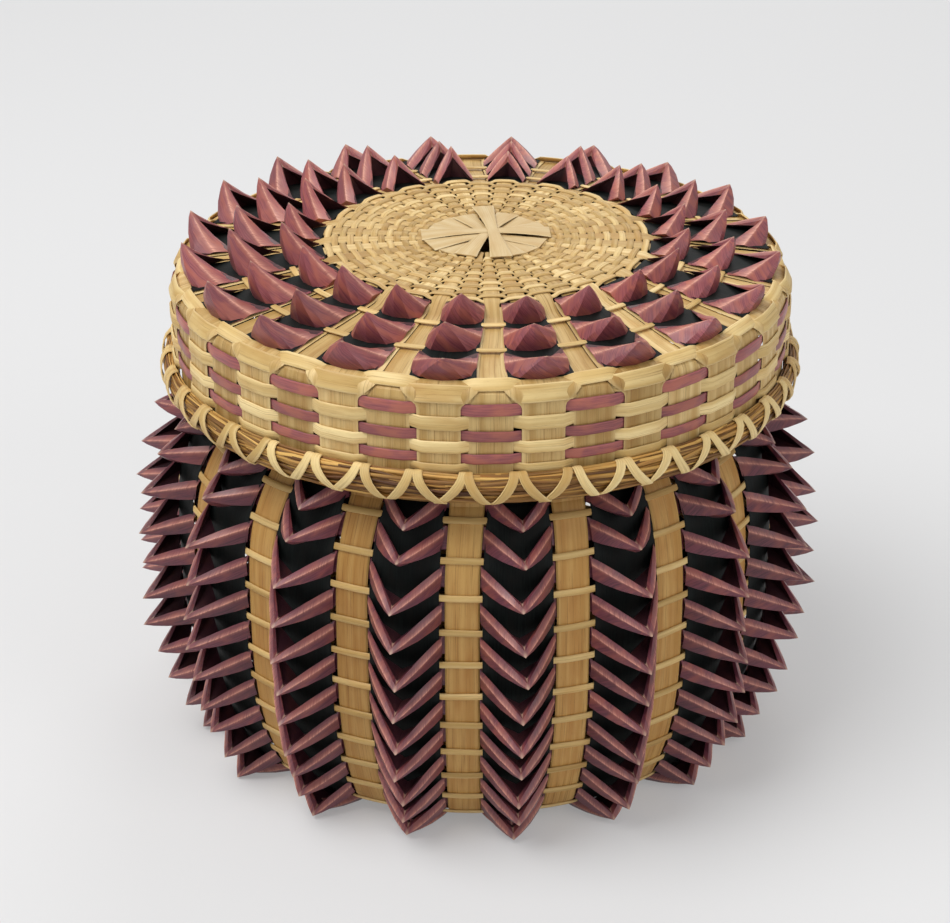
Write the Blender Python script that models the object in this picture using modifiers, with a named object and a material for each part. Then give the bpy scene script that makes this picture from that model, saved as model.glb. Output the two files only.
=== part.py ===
# A lidded basket of flat ash splint with rows of folded points, and a lid that lifts off.
# Natural and black uprights stand in turn round the wall. In every row a thin natural hoop lies
# over the natural uprights and under the black ones, and below it a purple strip passes behind
# each natural upright and is folded to a point over each black one.
# Lengths are in metres, +Z is up, the basket stands on z = 0 and its front faces -Y.

import bpy
import bmesh
from math import atan2, cos, hypot, pi, radians, sin, tan
from mathutils import Vector

mm = 0.001

# Wall of the basket, measured at the middle of the natural uprights
neck_radius = 59.2 * mm
neck_height = 78.0 * mm
belly_swell = 7.0 * mm  # out from the neck
belly_height = 45.0 * mm
base_inset = 5.8 * mm  # in from the neck
base_power = 2.6
neck_power = 3.6
wall_station_shares = (0.0, 0.2, 0.5, 0.8, 1.0)  # between the base and the neck
upright_pairs = 18
front_turn = radians(-2.6)  # of the first natural upright from the front

# Splints of the basket
splint = 0.5 * mm
layer_gap = 0.3 * mm
natural_width = 8.0 * mm
black_gap_share = 0.564  # of the gap between natural uprights at the base
neck_black_gap_share = 0.426  # of that gap at the neck
star_hub_radius = 14.0 * mm
hub_width_share = 0.8  # of the pitch at the hub
hoop_thickness = 0.6 * mm
hoop_height = 1.3 * mm

# Rows of folded points on the wall
row_count = 11
first_row_drop = 1.4 * mm  # below the lid's bottom edge
last_row_height = 10.2 * mm
row_shrink_share = 0.84  # lowest row's pitch to the highest row's
row_start = 0.9 * mm  # from a hoop's middle to the top edge of the strip below it
strip_height_share = 0.5  # of the pitch
point_clearance = 0.35 * mm  # sideways, from a natural upright's edge to the strip that folds
point_reach = 9.2 * mm
point_drop = 6.4 * mm
crease_run = 2.3 * mm  # from the tip back along the fold
crease_sink = 0.9 * mm
lean_share = 0.35  # of the wall's slope that a point follows

# Rim of the basket
rim_height = 5.0 * mm
rim_hoop = 0.8 * mm
rim_lash = 0.4 * mm
rim_lash_width = 1.6 * mm
neck_hoop_share = 0.6  # of the way from the neck to the rim
base_weaver_radius = 46.0 * mm

# Lid, measured at the middle of its natural spokes
spoke_pairs = 20
lid_turn = radians(2.0)  # of the first natural spoke from the front
lid_splint = 0.4 * mm
overlay_splint = 0.3 * mm
lid_clearance = 6.8 * mm  # from the basket's neck out to the lid's side
lid_rise = 32.7 * mm  # from the neck up to the lid's flat top
disc_share = 0.54  # of the lid's radius
shoulder_inset = 1.2 * mm
shoulder_drop = 4.1 * mm  # below the flat top
shoulder_round = 1.3 * mm
lid_depth = 22.0 * mm  # from the shoulder to the bottom edge
lid_hub_radius = 5.5 * mm
lid_disc_spoke_width = 3.0 * mm
lid_shoulder_spoke_width = 5.6 * mm
lid_side_spoke_width = 8.4 * mm
side_spoke_inner_width = 3.0 * mm
side_spoke_share = 0.3665  # of the pitch on the lid's side
overlay_inner_width = 2.8 * mm
overlay_outer_share = 0.79  # of the side spokes' width
overlay_inset = 2.2 * mm  # from the shoulder back to the overlays' ends
lid_hoop_thickness = 0.45 * mm
lid_hoop_height = 1.0 * mm

# Rows of folded points on the lid
lid_row_start = 1.6 * mm  # out from the disc to the first strip
lid_row_share = 0.308  # of the slope, from each row to the next
lid_strip_share = 0.5
lid_point_clearance = 0.2 * mm
lid_point_rises = (9.2 * mm, 8.2 * mm, 7.0 * mm)  # from the inner row out
lid_point_run_share = 0.89  # of the way from a row to the next
lid_crease_run = 1.4 * mm  # measured along the lid
lid_crease_sink = 1.3 * mm  # towards the lid

# Side and rim of the lid
side_row_drops = (3.2 * mm, 8.7 * mm, 13.4 * mm)  # of the purple rows, below the shoulder
side_row_height = 2.2 * mm
side_weaver_height = 1.8 * mm
side_weaver_drop = 2.4 * mm  # from a purple row to the natural one below it
lid_rim_height = 5.0 * mm
lid_rim_hoop = 0.9 * mm
sweetgrass_thickness = 1.3 * mm
lash_width = 1.5 * mm
lash_thickness = 0.4 * mm
centre_weave_inner_radius = 3.0 * mm
centre_weave_thickness = 0.6 * mm
centre_splint_length = 27.0 * mm
centre_splint_width = 5.0 * mm
centre_splint_waist = 2.6 * mm
centre_splint_arms = 4

# Sizes that follow from these
belly_radius = neck_radius + belly_swell
base_radius = neck_radius - base_inset
black_width = (2 * pi * base_radius / upright_pairs - natural_width) * black_gap_share
neck_black_width = (2 * pi * neck_radius / upright_pairs - natural_width) * neck_black_gap_share
lid_side_radius = neck_radius + lid_clearance
side_spoke_width = 2 * pi * lid_side_radius / spoke_pairs * side_spoke_share
overlay_outer_width = side_spoke_width * overlay_outer_share
shoulder_radius = lid_side_radius - shoulder_inset
disc_radius = lid_side_radius * disc_share
overlay_end_radius = shoulder_radius - overlay_inset
lid_top_height = neck_height + lid_rise
shoulder_height = lid_top_height - shoulder_drop
lid_bottom_height = shoulder_height - lid_depth
first_row_height = lid_bottom_height - first_row_drop
lid_row_pitch = (shoulder_radius - disc_radius) * lid_row_share
lid_point_run = lid_row_pitch * lid_point_run_share

# Levels of the layers, out from the middle of the natural uprights or spokes. A hoop lies over the
# natural ones at its corners and under the others in the middle of its flats.
strip_level = -(splint + layer_gap)
hoop_inner = splint / 2 + layer_gap + natural_width / 2 * tan(pi / upright_pairs)
hoop_dip = (neck_radius + hoop_inner) * (1 - cos(pi / upright_pairs))
black_level = hoop_inner - hoop_dip + hoop_thickness + layer_gap + splint / 2
base_level = black_level + splint / 2
lid_strip_level = -(lid_splint + layer_gap)
side_hoop_inner = lid_splint / 2 + layer_gap + lid_side_spoke_width / 2 * tan(pi / spoke_pairs)
side_hoop_dip = (lid_side_radius + side_hoop_inner) * (1 - cos(pi / spoke_pairs))
side_spoke_level = side_hoop_inner - side_hoop_dip + lid_hoop_thickness + layer_gap + lid_splint / 2
overlay_level = side_spoke_level + lid_splint / 2 + layer_gap + overlay_splint / 2
lid_strip_depth = lid_splint + layer_gap + lid_splint / 2  # from the spokes down to a strip's underside
rim_inner_face = neck_radius - splint / 2 - layer_gap
rim_outer_face = neck_radius + black_level + splint / 2 + layer_gap
rim_rest_radius = rim_inner_face / cos(pi / upright_pairs)  # where the lid rests


def remove_everything():
    for obj in list(bpy.data.objects):
        bpy.data.objects.remove(obj, do_unlink=True)


def make_material(name, colour, roughness):
    material = bpy.data.materials.new(name)
    material.use_nodes = True
    shader = material.node_tree.nodes["Principled BSDF"]
    shader.inputs["Base Color"].default_value = (*colour, 1.0)
    shader.inputs["Roughness"].default_value = roughness
    shader.inputs["Metallic"].default_value = 0.0
    return material


def make_collection(name):
    collection = bpy.data.collections.new(name)
    bpy.context.scene.collection.children.link(collection)
    return collection


def add_object(name, data, material, parent):
    obj = bpy.data.objects.new(name, data)
    if material:
        data.materials.append(material)
    basket_collection.objects.link(obj)
    obj.parent = parent
    return obj


def solidify(obj, thickness, even=False):
    wall = obj.modifiers.new("Thickness", "SOLIDIFY")
    wall.thickness = thickness
    wall.offset = 0.0
    wall.use_even_offset = even


# Profiles are lists of (radius, height), drawn upwards. Their radii are those of flat splints at
# right angles to the radius, so a place beside the middle of a splint lies a little further out.


def wall_radius(height):
    below = max(0.0, belly_height - height) / belly_height
    above = max(0.0, height - belly_height) / (neck_height - belly_height)
    taper = (belly_radius - base_radius) * below**base_power
    return belly_radius - taper - (belly_radius - neck_radius) * min(1.0, above) ** neck_power


def wall_profile(top):
    heights = [base_level + share * (neck_height - base_level) for share in wall_station_shares]
    wall = [(wall_radius(height), height) for height in heights]
    return [(star_hub_radius, base_level), *wall, (neck_radius, top)]


def lid_profile():
    return [
        (lid_side_radius, lid_bottom_height),
        (lid_side_radius, shoulder_height - shoulder_round),
        (shoulder_radius, shoulder_height),
        (disc_radius, lid_top_height),
        (lid_hub_radius, lid_top_height),
    ]


def outward(start, end):
    """The unit normal of a profile's stretch, on its outer side, for a wall that is drawn upwards."""
    run, rise = end[0] - start[0], end[1] - start[1]
    return rise / hypot(run, rise), -run / hypot(run, rise)


def offset_profile(profile, distance):
    """The profile moved out by distance, with its corners mitred."""
    normals = [outward(a, b) for a, b in zip(profile, profile[1:])]
    moved = []
    for index, (radius, height) in enumerate(profile):
        before = normals[max(0, index - 1)]
        after = normals[min(index, len(normals) - 1)]
        sum_r, sum_z = before[0] + after[0], before[1] + after[1]
        scale = 2 * distance / (sum_r**2 + sum_z**2)
        moved.append((radius + sum_r * scale, height + sum_z * scale))
    return moved


def place_between(start, end, share):
    """The point at this share of a stretch, with the direction along it and its outward normal."""
    run, rise = end[0] - start[0], end[1] - start[1]
    along = (run / hypot(run, rise), rise / hypot(run, rise))
    return (start[0] + run * share, start[1] + rise * share), along, outward(start, end)


def place_on(profile, length):
    """The place at this length along a profile."""
    for start, end in zip(profile, profile[1:]):
        stretch = hypot(end[0] - start[0], end[1] - start[1])
        if length <= stretch or end == profile[-1]:
            return place_between(start, end, length / stretch)
        length -= stretch
    return None


def length_at_height(profile, height):
    total = 0.0
    for start, end in zip(profile, profile[1:]):
        stretch = hypot(end[0] - start[0], end[1] - start[1])
        if start[1] < end[1] and start[1] <= height <= end[1]:
            return total + stretch * (height - start[1]) / (end[1] - start[1])
        total += stretch
    return total


def shifted(place, along_by, out_by):
    point, along, normal = place
    return (
        point[0] + along[0] * along_by + normal[0] * out_by,
        point[1] + along[1] * along_by + normal[1] * out_by,
    )


def at_turn(turn, sideways, point):
    """A place beside a splint's middle line: turn is the splint's angle from the front."""
    radius, height = point
    return Vector(
        (
            radius * sin(turn) + sideways * cos(turn),
            -radius * cos(turn) + sideways * sin(turn),
            height,
        )
    )


def turns(count, first, share=0.0):
    return [first + 2 * pi * (index + share) / count for index in range(count)]


def sheet_mesh(name, vertices, faces):
    mesh = bpy.data.meshes.new(name)
    mesh.from_pydata([tuple(vertex) for vertex in vertices], [], faces)
    shape = bmesh.new()
    shape.from_mesh(mesh)
    bmesh.ops.remove_doubles(shape, verts=shape.verts, dist=layer_gap / 100)
    bmesh.ops.recalc_face_normals(shape, faces=shape.faces)
    shape.to_mesh(mesh)
    shape.free()
    return mesh


def make_star(name, profile, widths, at, thickness, material, parent):
    """Splints that cross at the middle: strips along a profile, joined by a hub at its first point."""
    vertices, faces, hub = [], [], []
    for turn in at:
        first = len(vertices)
        for point, width in zip(profile, widths):
            vertices += [at_turn(turn, -width / 2, point), at_turn(turn, width / 2, point)]
        hub += [first, first + 1]
        for row in range(len(profile) - 1):
            low = first + 2 * row
            faces.append((low, low + 1, low + 3, low + 2))
    faces.append(tuple(hub))
    obj = add_object(name, sheet_mesh(name, vertices, faces), material, parent)
    solidify(obj, thickness, even=True)
    return obj


def make_ring(name, section, steps, corner_turn, material, parent):
    """A hoop turned from its section, which is that at its corners."""
    corners = [(radius, 0.0, height) for radius, height in section]
    edges = [(index, (index + 1) % len(corners)) for index in range(len(corners))]
    mesh = bpy.data.meshes.new(name)
    mesh.from_pydata(corners, edges, [])
    obj = add_object(name, mesh, material, parent)
    obj.rotation_euler.z = corner_turn - pi / 2
    screw = obj.modifiers.new("Turn", "SCREW")
    screw.steps = steps
    screw.render_steps = steps
    screw.use_merge_vertices = True
    screw.merge_threshold = layer_gap / 10
    screw.use_normal_calculate = False
    return obj


def ridge_section(place, height, inner, outer):
    """A splint hoop's section: flat inside, with a ridge outside."""
    return [
        shifted(place, height / 2, inner),
        shifted(place, 0.0, outer),
        shifted(place, -height / 2, inner),
    ]


def woven_section(place, height, over_splint, over_width, under_splint, under_level, pairs):
    """The section of a hoop that lies over a splint at each corner and under one between corners."""
    upright = place[2][0]
    inner = over_splint / 2 + layer_gap + over_width / 2 * tan(pi / pairs) * upright
    dip = (place[0][0] + inner) * (1 - cos(pi / pairs)) * upright
    outer = under_level - under_splint / 2 - layer_gap + dip
    return ridge_section(place, height, inner, outer)


def flat_section(low, high, inner, outer, steps=0):
    """A box section. With steps, inner and outer are those at the flats of a hoop of so many sides."""
    spread = 1 / cos(pi / steps) if steps else 1.0
    return [(outer * spread, high), (outer * spread, low), (inner * spread, low), (inner * spread, high)]


def make_laced(name, points, width, thickness, material, parent):
    """A closed strip along points, three-sided, with its flat side to the basket."""
    outline = bpy.data.curves.new(name + "_section", "CURVE")
    outline.dimensions = "2D"
    section = outline.splines.new("POLY")
    section.points.add(2)
    corners = ((0.0, width / 2), (thickness, 0.0), (0.0, -width / 2))
    for point, (across, up) in zip(section.points, corners):
        point.co = (across, up, 0.0, 1.0)
    section.use_cyclic_u = True
    guide = bpy.data.objects.new(name + "_section", outline)
    guide.hide_render = True
    guide.display_type = "WIRE"
    guide_collection.objects.link(guide)

    curve = bpy.data.curves.new(name, "CURVE")
    curve.dimensions = "3D"
    curve.twist_mode = "Z_UP"
    path = curve.splines.new("POLY")
    path.points.add(len(points) - 1)
    for point, place in zip(path.points, points):
        point.co = (*place, 1.0)
    path.use_cyclic_u = True
    curve.bevel_mode = "OBJECT"
    curve.bevel_object = guide
    return add_object(name, curve, material, parent)


def make_point_row(
    name, under, over, half_gap, top, bottom, fold_top, fold_bottom, thickness, material, parent
):
    """A strip round the basket that passes under some splints and folds to a point over the others.

    under and over are the turns of the splints that it passes and of those that it folds over.
    top and bottom are the strip's edges, and fold_top and fold_bottom where they meet the fold."""
    vertices, faces = [], []
    for under_turn, over_turn in zip(under, over):
        base = len(vertices)
        for side in (-half_gap, half_gap):
            vertices += [at_turn(under_turn, side, top), at_turn(under_turn, side, bottom)]
        vertices += [at_turn(over_turn, 0.0, fold_top), at_turn(over_turn, 0.0, fold_bottom)]
        faces.append((base, base + 1, base + 3, base + 2))
        faces += [(base + 2, base + 3, base + 4), (base + 3, base + 5, base + 4)]
    count = len(vertices)
    for base in range(0, count, 6):
        after = (base + 6) % count
        faces += [(base + 4, base + 5, after + 1), (base + 4, after + 1, after)]
    obj = add_object(name, sheet_mesh(name, vertices, faces), material, parent)
    solidify(obj, thickness)
    return obj


def row_lengths(profile):
    """Lengths along the wall of each hoop, from the top row down."""
    top = length_at_height(profile, first_row_height)
    bottom = length_at_height(profile, last_row_height)
    gaps = [1 + (row_shrink_share - 1) * index / (row_count - 2) for index in range(row_count - 1)]
    share = (top - bottom) / sum(gaps)
    lengths = [top]
    for gap in gaps:
        lengths.append(lengths[-1] - gap * share)
    return lengths, [*(gap * share for gap in gaps), gaps[-1] * share]


def build_uprights(parent, rim_top):
    profile = wall_profile(rim_top)
    hub = 2 * pi * star_hub_radius / upright_pairs * hub_width_share
    stations = len(profile) - 1
    natural = turns(upright_pairs, front_turn)
    black = turns(upright_pairs, front_turn, 0.5)
    make_star(
        "natural_uprights", profile, [hub] + [natural_width] * stations, natural, splint, straw, parent
    )
    outer = offset_profile(profile, black_level)
    widths = [hub] + [black_width] * (stations - 2) + [neck_black_width] * 2
    make_star("black_uprights", outer, widths, black, splint, black_dye, parent)
    return profile


def build_wall_rows(parent, profile):
    lengths, pitches = row_lengths(profile)
    natural = turns(upright_pairs, front_turn)
    black = turns(upright_pairs, front_turn, 0.5)
    half_gap = natural_width / 2 + point_clearance
    for index, (length, pitch) in enumerate(zip(lengths, pitches)):
        number = f"{index + 1:02d}"
        place = place_on(profile, length)
        make_wall_weaver("thin_weaver_" + number, place, parent)
        strip_top = place_on(profile, length - row_start)
        strip_bottom = place_on(profile, length - row_start - strip_height_share * pitch)
        below = place_on(profile, length - row_start - point_drop)
        run, rise = strip_top[0][0] - below[0][0], strip_top[0][1] - below[0][1]
        slope = atan2(run, rise) * lean_share
        reach = point_reach * cos(slope) - point_drop * sin(slope)
        drop = point_drop * cos(slope) + point_reach * sin(slope)
        tip = (strip_top[0][0] + reach, strip_top[0][1] - drop)
        crease = (tip[0] - crease_run, tip[1] - crease_sink)
        make_point_row(
            "point_row_" + number,
            natural,
            black,
            half_gap,
            shifted(strip_top, 0.0, strip_level),
            shifted(strip_bottom, 0.0, strip_level),
            tip,
            crease,
            splint,
            purple_dye,
            parent,
        )


def make_wall_weaver(name, place, parent):
    section = woven_section(
        place, hoop_height, splint, natural_width, splint, black_level, upright_pairs
    )
    return make_ring(name, section, upright_pairs, front_turn, straw, parent)


def build_basket_rim(parent, profile, rim_top):
    steps = upright_pairs
    half_step = pi / steps
    low = rim_top - rim_height
    inner = flat_section(low, rim_top, rim_inner_face - rim_hoop, rim_inner_face, steps)
    outer = flat_section(low, rim_top, rim_outer_face, rim_outer_face + rim_hoop, steps)
    make_ring("basket_rim_inner_hoop", inner, steps, front_turn + half_step, straw, parent)
    make_ring("basket_rim_outer_hoop", outer, steps, front_turn, straw, parent)
    neck = length_at_height(profile, neck_height + neck_hoop_share * (low - neck_height))
    make_wall_weaver("neck_weaver", place_on(profile, neck), parent)
    foot = place_on(profile, base_weaver_radius - star_hub_radius)
    make_wall_weaver("base_weaver", foot, parent)

    lash_radius = rim_outer_face + rim_hoop + layer_gap
    points = []
    for index in range(steps):
        high_turn = front_turn + 2 * index * half_step
        high = (lash_radius / cos(half_step), rim_top - rim_lash_width / 2)
        points.append(at_turn(high_turn, 0.0, high))
        points.append(at_turn(high_turn + half_step, 0.0, (lash_radius, low + rim_lash_width / 2)))
    make_laced("basket_rim_lashing", points, rim_lash_width, rim_lash, straw, parent)


def build_lid_spokes(parent, profile):
    natural = turns(spoke_pairs, lid_turn)
    between = turns(spoke_pairs, lid_turn, 0.5)
    hub = 2 * pi * lid_hub_radius / spoke_pairs * hub_width_share
    side = [lid_side_spoke_width] * 2
    widths = [hub, lid_disc_spoke_width, lid_shoulder_spoke_width, *side]
    make_star("lid_natural_spokes", profile[::-1], widths, natural, lid_splint, straw, parent)
    outer = offset_profile(profile, side_spoke_level)[::-1]
    widths = [hub, side_spoke_inner_width, *[side_spoke_width] * 3]
    make_star("lid_side_spokes", outer, widths, between, lid_splint, straw, parent)
    end = shifted(lid_top_place(profile, overlay_end_radius), 0.0, overlay_level)
    overlay = [offset_profile(profile, overlay_level)[3], end]
    widths = [overlay_inner_width, overlay_outer_width]
    make_star("lid_black_overlays", overlay, widths, between, overlay_splint, black_dye, parent)


def lid_top_place(profile, radius):
    """The place at this radius on the lid's slope, with its direction turned to run outwards."""
    shoulder, disc = profile[2], profile[3]
    share = (shoulder[0] - radius) / (shoulder[0] - disc[0])
    point, along, normal = place_between(shoulder, disc, share)
    return point, (-along[0], -along[1]), normal


def spoke_width_at(radius):
    share = (radius - disc_radius) / (shoulder_radius - disc_radius)
    return lid_disc_spoke_width + share * (lid_shoulder_spoke_width - lid_disc_spoke_width)


def build_lid_rows(parent, profile):
    natural = turns(spoke_pairs, lid_turn)
    between = turns(spoke_pairs, lid_turn, 0.5)
    strip = lid_strip_share * lid_row_pitch
    for index, rise in enumerate(lid_point_rises):
        number = str(index + 1)
        radius = disc_radius + lid_row_start + index * lid_row_pitch
        edge = lid_top_place(profile, radius)
        far = lid_top_place(profile, radius + strip)
        make_point_row(
            "lid_point_row_" + number,
            natural,
            between,
            spoke_width_at(radius + strip) / 2 + lid_point_clearance,
            shifted(edge, 0.0, lid_strip_level),
            shifted(far, 0.0, lid_strip_level),
            shifted(edge, lid_point_run - lid_crease_run, rise - lid_crease_sink),
            shifted(edge, lid_point_run, rise),
            lid_splint,
            purple_dye,
            parent,
        )
        hoop = lid_top_place(profile, radius + (strip + lid_row_pitch) / 2)
        inner = lid_splint / 2 + layer_gap
        outer = side_spoke_level - inner
        section = ridge_section(hoop, lid_hoop_height, inner, outer)[::-1]
        make_ring("lid_thin_weaver_" + number, section, spoke_pairs, lid_turn, straw, parent)


def build_lid_side(parent):
    over = lid_side_radius + side_spoke_level + lid_splint / 2 + layer_gap
    under = lid_side_radius - lid_splint / 2 - layer_gap - lid_splint
    for index, drop in enumerate(side_row_drops):
        number = str(index + 1)
        height = shoulder_height - drop
        place = ((lid_side_radius, height), (0.0, 1.0), (1.0, 0.0))
        section = woven_section(
            place,
            side_row_height,
            lid_splint,
            lid_side_spoke_width,
            lid_splint,
            side_spoke_level,
            spoke_pairs,
        )
        make_ring("lid_purple_weaver_" + number, section, spoke_pairs, lid_turn, purple_dye, parent)
        points = []
        level = height - side_weaver_drop
        for turn in turns(spoke_pairs, lid_turn):
            for side in (-1, 1):
                sideways = side * (lid_side_spoke_width / 2 + layer_gap)
                points.append(at_turn(turn, sideways, (under, level)))
            for side in (-1, 1):
                sideways = side * (side_spoke_width / 2 + layer_gap)
                points.append(at_turn(turn + pi / spoke_pairs, sideways, (over, level)))
        name = "lid_side_weaver_" + number
        make_laced(name, points, side_weaver_height, lid_splint, straw, parent)


def build_lid_rim(parent):
    steps = 2 * spoke_pairs
    half_step = pi / steps
    low, high = lid_bottom_height, lid_bottom_height + lid_rim_height
    middle = (low + high) / 2
    inner = lid_side_radius - lid_splint / 2 - layer_gap
    section = flat_section(low, high, inner - lid_rim_hoop, inner, spoke_pairs)
    make_ring("lid_rim_inner_hoop", section, spoke_pairs, lid_turn + 2 * half_step, straw, parent)
    inside = lid_side_radius + side_spoke_level + lid_splint / 2 + layer_gap
    outside = inside + sweetgrass_thickness
    half_way = (inside + outside) / 2
    places = ((half_way, high), (outside, middle), (half_way, low), (inside, middle))
    section = [(radius / cos(half_step), height) for radius, height in places]
    make_ring("lid_rim_sweetgrass", section, steps, lid_turn + half_step, sweetgrass, parent)
    radius = outside + layer_gap
    points = []
    for turn in turns(steps, lid_turn):
        points.append(at_turn(turn, 0.0, (radius, low + lash_width / 2)))
        corner = (radius / cos(half_step), high - lash_width / 2)
        points.append(at_turn(turn + half_step, 0.0, corner))
    make_laced("lid_rim_lashing", points, lash_width, lash_thickness, straw, parent)


def build_lid_centre(parent):
    level = lid_top_height + overlay_level + overlay_splint / 2 + layer_gap
    top = level + centre_weave_thickness
    section = flat_section(level, top, centre_weave_inner_radius, disc_radius)
    make_ring("lid_centre_weave", section, spoke_pairs, lid_turn, straw, parent)
    height = top + layer_gap + lid_splint / 2
    arms = [(centre_splint_waist / 2, height), (centre_splint_length / 2, height)]
    widths = [centre_splint_waist * hub_width_share, centre_splint_width]
    make_star("lid_centre_splints", arms, widths, turns(centre_splint_arms, 0.0), lid_splint, straw, parent)


def build_all():
    body = bpy.data.objects.new("basket", None)
    lid = bpy.data.objects.new("lid", None)
    basket_collection.objects.link(body)
    basket_collection.objects.link(lid)
    lid.parent = body
    lid_shape = lid_profile()
    underside = shifted(lid_top_place(lid_shape, rim_rest_radius), 0.0, -lid_strip_depth)
    rim_top = underside[1] - layer_gap
    profile = build_uprights(body, rim_top)
    build_wall_rows(body, profile)
    build_basket_rim(body, profile, rim_top)
    build_lid_spokes(lid, lid_shape)
    build_lid_rows(lid, lid_shape)
    build_lid_side(lid)
    build_lid_rim(lid)
    build_lid_centre(lid)


remove_everything()
basket_collection = make_collection("splint_basket")
guide_collection = make_collection("guides")
straw = make_material("natural_splint", (0.70, 0.50, 0.26), 0.55)
black_dye = make_material("black_splint", (0.012, 0.012, 0.016), 0.5)
purple_dye = make_material("purple_splint", (0.19, 0.055, 0.09), 0.45)
sweetgrass = make_material("sweetgrass", (0.42, 0.25, 0.08), 0.6)
build_all()
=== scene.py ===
from math import atan2, cos, pi, radians, sin

import bmesh
import bpy
import numpy as np
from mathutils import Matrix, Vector


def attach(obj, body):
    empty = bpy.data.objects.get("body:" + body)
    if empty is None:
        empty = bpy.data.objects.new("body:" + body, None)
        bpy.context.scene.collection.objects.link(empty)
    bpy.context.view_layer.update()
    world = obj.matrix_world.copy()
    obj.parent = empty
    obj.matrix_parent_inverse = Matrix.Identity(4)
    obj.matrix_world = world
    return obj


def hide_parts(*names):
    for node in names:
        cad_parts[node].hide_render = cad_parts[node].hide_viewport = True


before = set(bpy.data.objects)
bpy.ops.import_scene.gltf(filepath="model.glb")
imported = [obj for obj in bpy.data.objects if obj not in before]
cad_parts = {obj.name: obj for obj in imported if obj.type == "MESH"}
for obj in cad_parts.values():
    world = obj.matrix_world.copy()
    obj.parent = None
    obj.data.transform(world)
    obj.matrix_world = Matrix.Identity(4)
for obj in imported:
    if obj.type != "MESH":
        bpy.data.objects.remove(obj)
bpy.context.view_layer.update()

# Lengths in the dictionaries are in millimetres and angles in degrees. The front of the basket
# faces -Y. A level is a distance out from the middle of the natural uprights or spokes.
mm = 0.001

wall = {"neckRadius": 59.2, "neckHeight": 78.0, "bellyRadius": 66.2, "bellyHeight": 45.0, "baseRadius": 56.0,
        "basePower": 2.6, "neckPower": 3.6, "baseLevel": 1.7, "baseBend": 7.4, "foot": 5.0, "rimTop": 106.1,
        "pairs": 18, "frontTurn": -2.6}
lid = {"discRadius": 35.6, "discLevel": 112.5, "shoulderRadius": 64.8, "shoulderHeight": 106.6, "sideRadius": 66.0,
       "bottom": 84.8, "sideTop": (101.0, 105.4), "slope": ((60.0, 107.27), (40.0, 110.08), (33.0, 111.06)),
       "pairs": 20, "frontTurn": 2.0}
rows = {"count": 11, "firstHeight": 83.2, "lastHeight": 10.2, "shrink": 0.84, "stripShare": 0.62, "stripStart": 0.9}


# Paths are arrays of (radius, height). Those of the wall run upwards, those of the lid run inwards.


def wallRadius(height):
    below = max(0.0, wall["bellyHeight"] - height) / wall["bellyHeight"]
    above = max(0.0, height - wall["bellyHeight"]) / (wall["neckHeight"] - wall["bellyHeight"])
    taper = (wall["bellyRadius"] - wall["baseRadius"]) * below ** wall["basePower"]
    waist = (wall["bellyRadius"] - wall["neckRadius"]) * min(1, above) ** wall["neckPower"]
    return wall["bellyRadius"] - taper - waist


def lengthsAlong(path):
    steps = np.linalg.norm(np.diff(path, axis=0), axis=1)
    return np.concatenate([[0.0], np.cumsum(steps)])


def normalsOf(path):
    along = np.gradient(path, axis=0)
    along /= np.linalg.norm(along, axis=1)[:, None]
    return np.stack([along[:, 1], -along[:, 0]], axis=1)


def offsetPath(path, level):
    return path + normalsOf(path) * level


def softened(corners, rounds=3):
    path = np.array(corners, float)
    for _ in range(rounds):
        cut = [path[0]]
        for a, b in zip(path, path[1:]):
            cut += [a * 0.75 + b * 0.25, a * 0.25 + b * 0.75]
        path = np.array(cut[0:1] + cut[2:-1] + [path[-1]])
    return path


def resampled(path, step):
    lengths = lengthsAlong(path)
    spots = np.linspace(0, lengths[-1], max(2, int(lengths[-1] / step) + 1))
    return np.stack([np.interp(spots, lengths, path[:, k]) for k in range(2)], axis=1)


def placeAt(path, length):
    lengths = lengthsAlong(path)
    normals = normalsOf(path)
    point = np.array([np.interp(length, lengths, path[:, k]) for k in range(2)])
    normal = np.array([np.interp(length, lengths, normals[:, k]) for k in range(2)])
    return point, normal / np.linalg.norm(normal)


pathStep = 0.5
wallHeights = np.arange(wall["foot"], wall["rimTop"] + 0.01, pathStep)
wallLine = np.array([(wallRadius(height), height) for height in wallHeights])
baseCorners = [(4.0, wall["baseLevel"]), (wall["baseRadius"] - wall["baseBend"], wall["baseLevel"]),
               (wall["baseRadius"] - 1.0, wall["baseLevel"] + 0.05), tuple(wallLine[0])]
uprightLine = resampled(np.concatenate([softened(baseCorners)[:-1], wallLine]), pathStep)
lidCorners = [*((lid["sideRadius"], height) for height in (lid["bottom"], *lid["sideTop"])),
              (lid["shoulderRadius"], lid["shoulderHeight"]), *lid["slope"]]
lidLine = resampled(softened(lidCorners), pathStep)


def lengthAtHeight(path, height):
    lengths = lengthsAlong(path)
    upper = path[:, 1] > wall["foot"] - 1
    return float(np.interp(height, path[upper, 1], lengths[upper]))


def lengthAtRadius(path, radius):
    top = path[:, 0] < lid["sideRadius"] - 0.2
    return float(np.interp(-radius, -path[top, 0], lengthsAlong(path)[top]))


def turned(points, turn):
    # Points are (sideways, radius, height) of something at this turn from the front
    side, radius, height = np.moveaxis(np.asarray(points, float), -1, 0)
    return np.stack([radius * sin(turn) + side * cos(turn), side * sin(turn) - radius * cos(turn), height], -1)


# Splints and folds are gathered in a part and made into one mesh. Each point carries its place on
# the splint in millimetres, along and across, and marks that the finishes and the trees read.


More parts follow.
